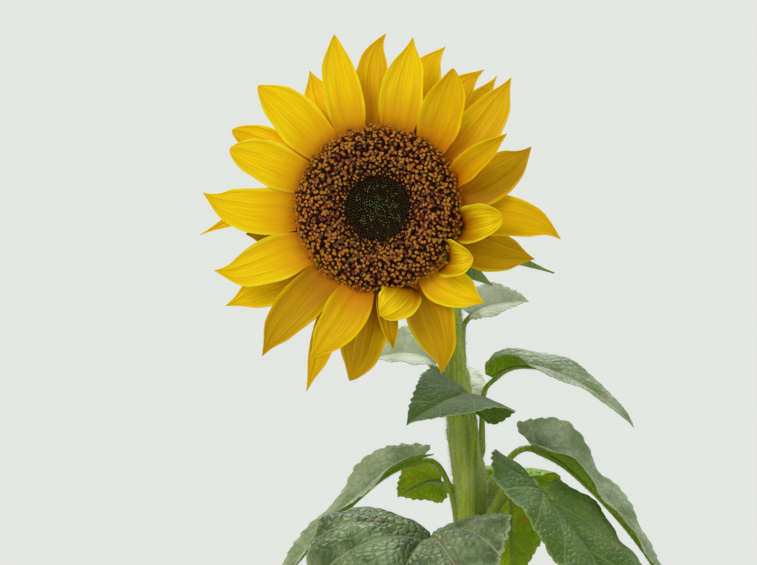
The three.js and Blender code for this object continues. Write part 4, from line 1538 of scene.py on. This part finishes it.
        bud = Seed.drawn_out(5, 6, pointed)
        pick = rng.random(len(r)) + 0.85 * (r / EYE_RADIUS) ** 1.5 - 0.12
        shades = (
            ("green", pick < 0.55, "#66703c"),
            ("dark", (pick >= 0.55) & (pick < 1.0), "#3c3e1e"),
            ("brown", pick >= 1.0, "#3e2a16"),
        )
        for shade, chosen, colour in shades:
            look = Finish(f"disc_buds_{shade}", colour, 0.6)
            seats.fill(bud, f"buds_{shade}", chosen, Slot.BUD, look)


@dataclass(frozen=True)
class Bract:
    """One pointed bract of the cup."""

    start: float  # how far from the middle of the head its foot is
    depth: float  # and how far behind the face
    angle: float  # and where round it
    length: float
    wide: float
    pitch: tuple  # its slopes from foot to point

    THICKNESS = 0.8
    HAIRS = 150

    def half_width(self, u: Array) -> Array:
        """Half its width: broad at the foot, drawn out to a long point."""
        return np.maximum(0.2, (self.wide / 2) * np.clip(1 - u**1.7, 0, 1) ** 1.1)

    def build(self, number: int, coat: HairCoat) -> bpy.types.Object:
        """Builds the bract.

        Args:
            number: Its number.
            coat: Takes in the hairs of its margins.

        Returns:
            The bract's piece.
        """
        rib = Rib(self.length, lambda s: along(self.pitch, s / self.length), np.zeros_like)
        foot = polar(self.start, math.radians(self.angle), -self.depth)
        piece, u, v = flat_grid(f"bract_{number:02d}", 26, 8)

        def skin(u: Array, v: Array) -> Array:
            """Points of the bract at shares of its length, and from -1 to 1 across."""
            half = self.half_width(u)
            rise = 0.12 * half * v * v - 0.35 * np.exp(-((v / 0.2) ** 2)) * (1 - u)
            rise = rise + 0.5 * np.sin(6 * u + number) * v * u
            points = rib.frames(u * self.length).placed(v * half, rise)
            return in_head(turned(points, self.angle) + foot)

        move_vertices(piece, skin(u, v))
        lay_uv(piece, u, 0.5 + 0.5 * v)
        thicken(piece, self.THICKNESS)
        rng = np.random.default_rng(RNG_SEED + 300 + number)
        share = rng.uniform(0.05, 0.97, self.HAIRS)
        hand = np.where(rng.random(self.HAIRS) < 0.5, -1.0, 1.0)
        roots = skin(share, hand)
        out = unit(roots - skin(share, hand * 0.8)) + rng.normal(0, 0.2, roots.shape)
        coat.root(roots, unit(out), rng.uniform(0.6, 1.6, self.HAIRS))
        return piece


@dataclass
class Involucre:
    """The green cup behind the disc, with two rows of bracts and one long leafy one."""

    in_row: int = 11
    rows: tuple = (
        (39.0, 11.5, 42.0, 17.0, (-12, -28, -20), 0.0),
        (33.0, 16.5, 36.0, 16.0, (-24, -44, -34), 0.5),
    )  # start, depth, length, width, slopes, and how far the row is shifted round in bracts
    leafy: Bract = Bract(39.0, 10.5, 341.0, 66.0, 11.0, (-10, -12, -8))
    profile: tuple = (
        (0, -CUP_DEPTH),
        (8, -CUP_DEPTH),
        (15, -25),
        (30, -19),
        (41, -12.5),
        (43.8, -8.5),
        (43.6, 0.6),
        (0, 0.6),
    )  # the cup's section, radius and height
    rib_count: int = 22
    rib_height: float = 0.35
    look: Finish = StemSkin("involucre_green", "#7a9a48", 0.55, 0.2, shade="#5d7a34", light="#9ab562")

    def bracts(self) -> list:
        """Every bract, row by row, and the leafy one last."""
        made = []
        for start, depth, length, wide, pitch, shift in self.rows:
            for i in range(self.in_row):
                vary = 1 + 0.1 * math.sin(i * 2.4 + depth)
                angle = (i + shift) * 360 / self.in_row
                made.append(Bract(start, depth, angle, length * vary, wide, pitch))
        return [*made, self.leafy]

    def build(self) -> None:
        """Builds the cup and all its bracts as one piece, with hairs along the margins."""
        coat = HairCoat("bract_hairs", np.random.default_rng(RNG_SEED + 5))
        pieces = [self.cup()]
        for number, bract in enumerate(self.bracts(), 1):
            pieces.append(bract.build(number, coat))
        whole = join(pieces, "involucre_bracts")
        smooth_shaded(whole)
        dress(whole, Slot.BRACT, self.look, replaces=("involucre",))
        coat.build(Slot.BRACT)

    def cup(self) -> bpy.types.Object:
        """Builds the cup, ribbed where the bracts run into it."""
        profile = np.array(self.profile)
        run = np.concatenate([[0.0], np.cumsum(np.hypot(*np.diff(profile, axis=0).T))])
        inner = np.linspace(0, 1, 61)[1:-1] * run[-1]
        stations = np.unique(np.concatenate([run, inner]))
        radii, heights = (np.interp(stations, run, profile[:, k]) for k in range(2))
        piece, row, v = flat_grid("cup", len(stations) - 1, 4 * self.rib_count)
        i = np.round(row * (len(stations) - 1)).astype(int)
        turn = math.pi * v
        rib = self.rib_height * np.cos(self.rib_count * turn) * smooth(radii[i], 8, 30) * (heights[i] < -8)
        r = radii[i] + np.where(radii[i] > 1, rib, 0.0)
        move_vertices(piece, in_head(polar(r, turn, heights[i])))
        lay_uv(piece, row, 0.5 + 0.5 * v)
        weld(piece)
        return piece


# ---------- studio ----------


@dataclass(frozen=True)
class Lamp:
    """A soft square light, in metres and watts."""

    name: str
    at: tuple
    size: float
    power: float
    colour: str

    def build(self, target: tuple) -> None:
        """Adds the light, facing the target."""
        deselect_all()
        bpy.ops.object.light_add(type="AREA", location=self.at)
        lamp = bpy.context.object
        lamp.name = self.name
        lamp.data.size = self.size
        lamp.data.energy = self.power
        lamp.data.color = srgb(self.colour)[:3]
        lamp.rotation_euler = (Vector(target) - Vector(self.at)).to_track_quat("-Z", "Y").to_euler()


@dataclass
class Studio:
    """A pale floor, soft lights and the camera, in metres."""

    eye: tuple = (-0.055, -1.280, 0.7587)
    view_width: float = 0.4258125  # how wide the view is at the flower's face
    face_distance: float = 1.2
    sensor: float = 36.0  # millimetres
    floor_size: float = 6.5
    lit: tuple = (-0.03, -0.03, 0.62)  # what the lamps face
    lamps: tuple = (
        Lamp("key", (-1.3, -1.3, 1.8), 1.0, 17.0, "#fff6e6"),
        Lamp("back", (0.0, 1.0, 2.1), 1.4, 28.0, "#f8fbff"),
        Lamp("fill", (0.9, -1.5, 0.7), 1.2, 6.0, "#f2f6ff"),
    )
    backdrop: tuple = ("#e4e6e2", 1.0)  # the colour and strength that the camera sees
    daylight: tuple = ("#eef2ea", 0.52)  # and those that light the plant

    def build(self) -> None:
        """Builds the floor, the lights, the surroundings and the camera."""
        self.floor()
        for lamp in self.lamps:
            lamp.build(self.lit)
        bpy.context.scene.world = self.surroundings()
        bpy.context.scene.view_settings.view_transform = "Standard"
        self.camera()

    def surroundings(self) -> bpy.types.World:
        """A pale backdrop for the camera and a dimmer, even light for everything else."""
        world = bpy.data.worlds.new("studio")
        world.use_nodes = True
        tree = world.node_tree
        tree.nodes.clear()
        seen = add_node(tree, "Background", self.backdrop)
        felt = add_node(tree, "Background", self.daylight)
        by_camera = add_node(tree, "LightPath", output="Is Camera Ray")
        shown = add_node(tree, "MixShader", (by_camera, felt, seen))
        add_node(tree, "OutputWorld", {"Surface": shown})
        return world

    def floor(self) -> None:
        """Builds the pale floor as a plane at the ground."""
        deselect_all()
        bpy.ops.mesh.primitive_plane_add(size=self.floor_size, location=(0, 0, 0))
        floor = bpy.context.object
        floor.name = "floor"
        paint(floor, Finish("studio_floor", "#dcdcd6", roughness=0.9))

    def camera(self) -> None:
        """Adds the camera, a little below the flower's middle and looking straight ahead."""
        deselect_all()
        bpy.ops.object.camera_add(location=self.eye, rotation=(math.pi / 2, 0, 0))
        camera = bpy.context.object
        camera.data.sensor_width = self.sensor
        camera.data.lens = self.sensor * self.face_distance / self.view_width
        camera.data.clip_end = 20.0
        bpy.context.scene.camera = camera


def main() -> None:
    """Loads the solids and builds every piece around them."""
    logging.basicConfig(level=logging.INFO, format="%(name)s: %(message)s")
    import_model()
    foliage = Foliage()
    stem = Stem(ridges=[leaf.ridge() for leaf in foliage.leaves()])
    stem.build()
    foliage.build(stem)
    Involucre().build()
    Disc().build()
    Crown().build()
    Studio().build()


if __name__ == "__main__":
    main()
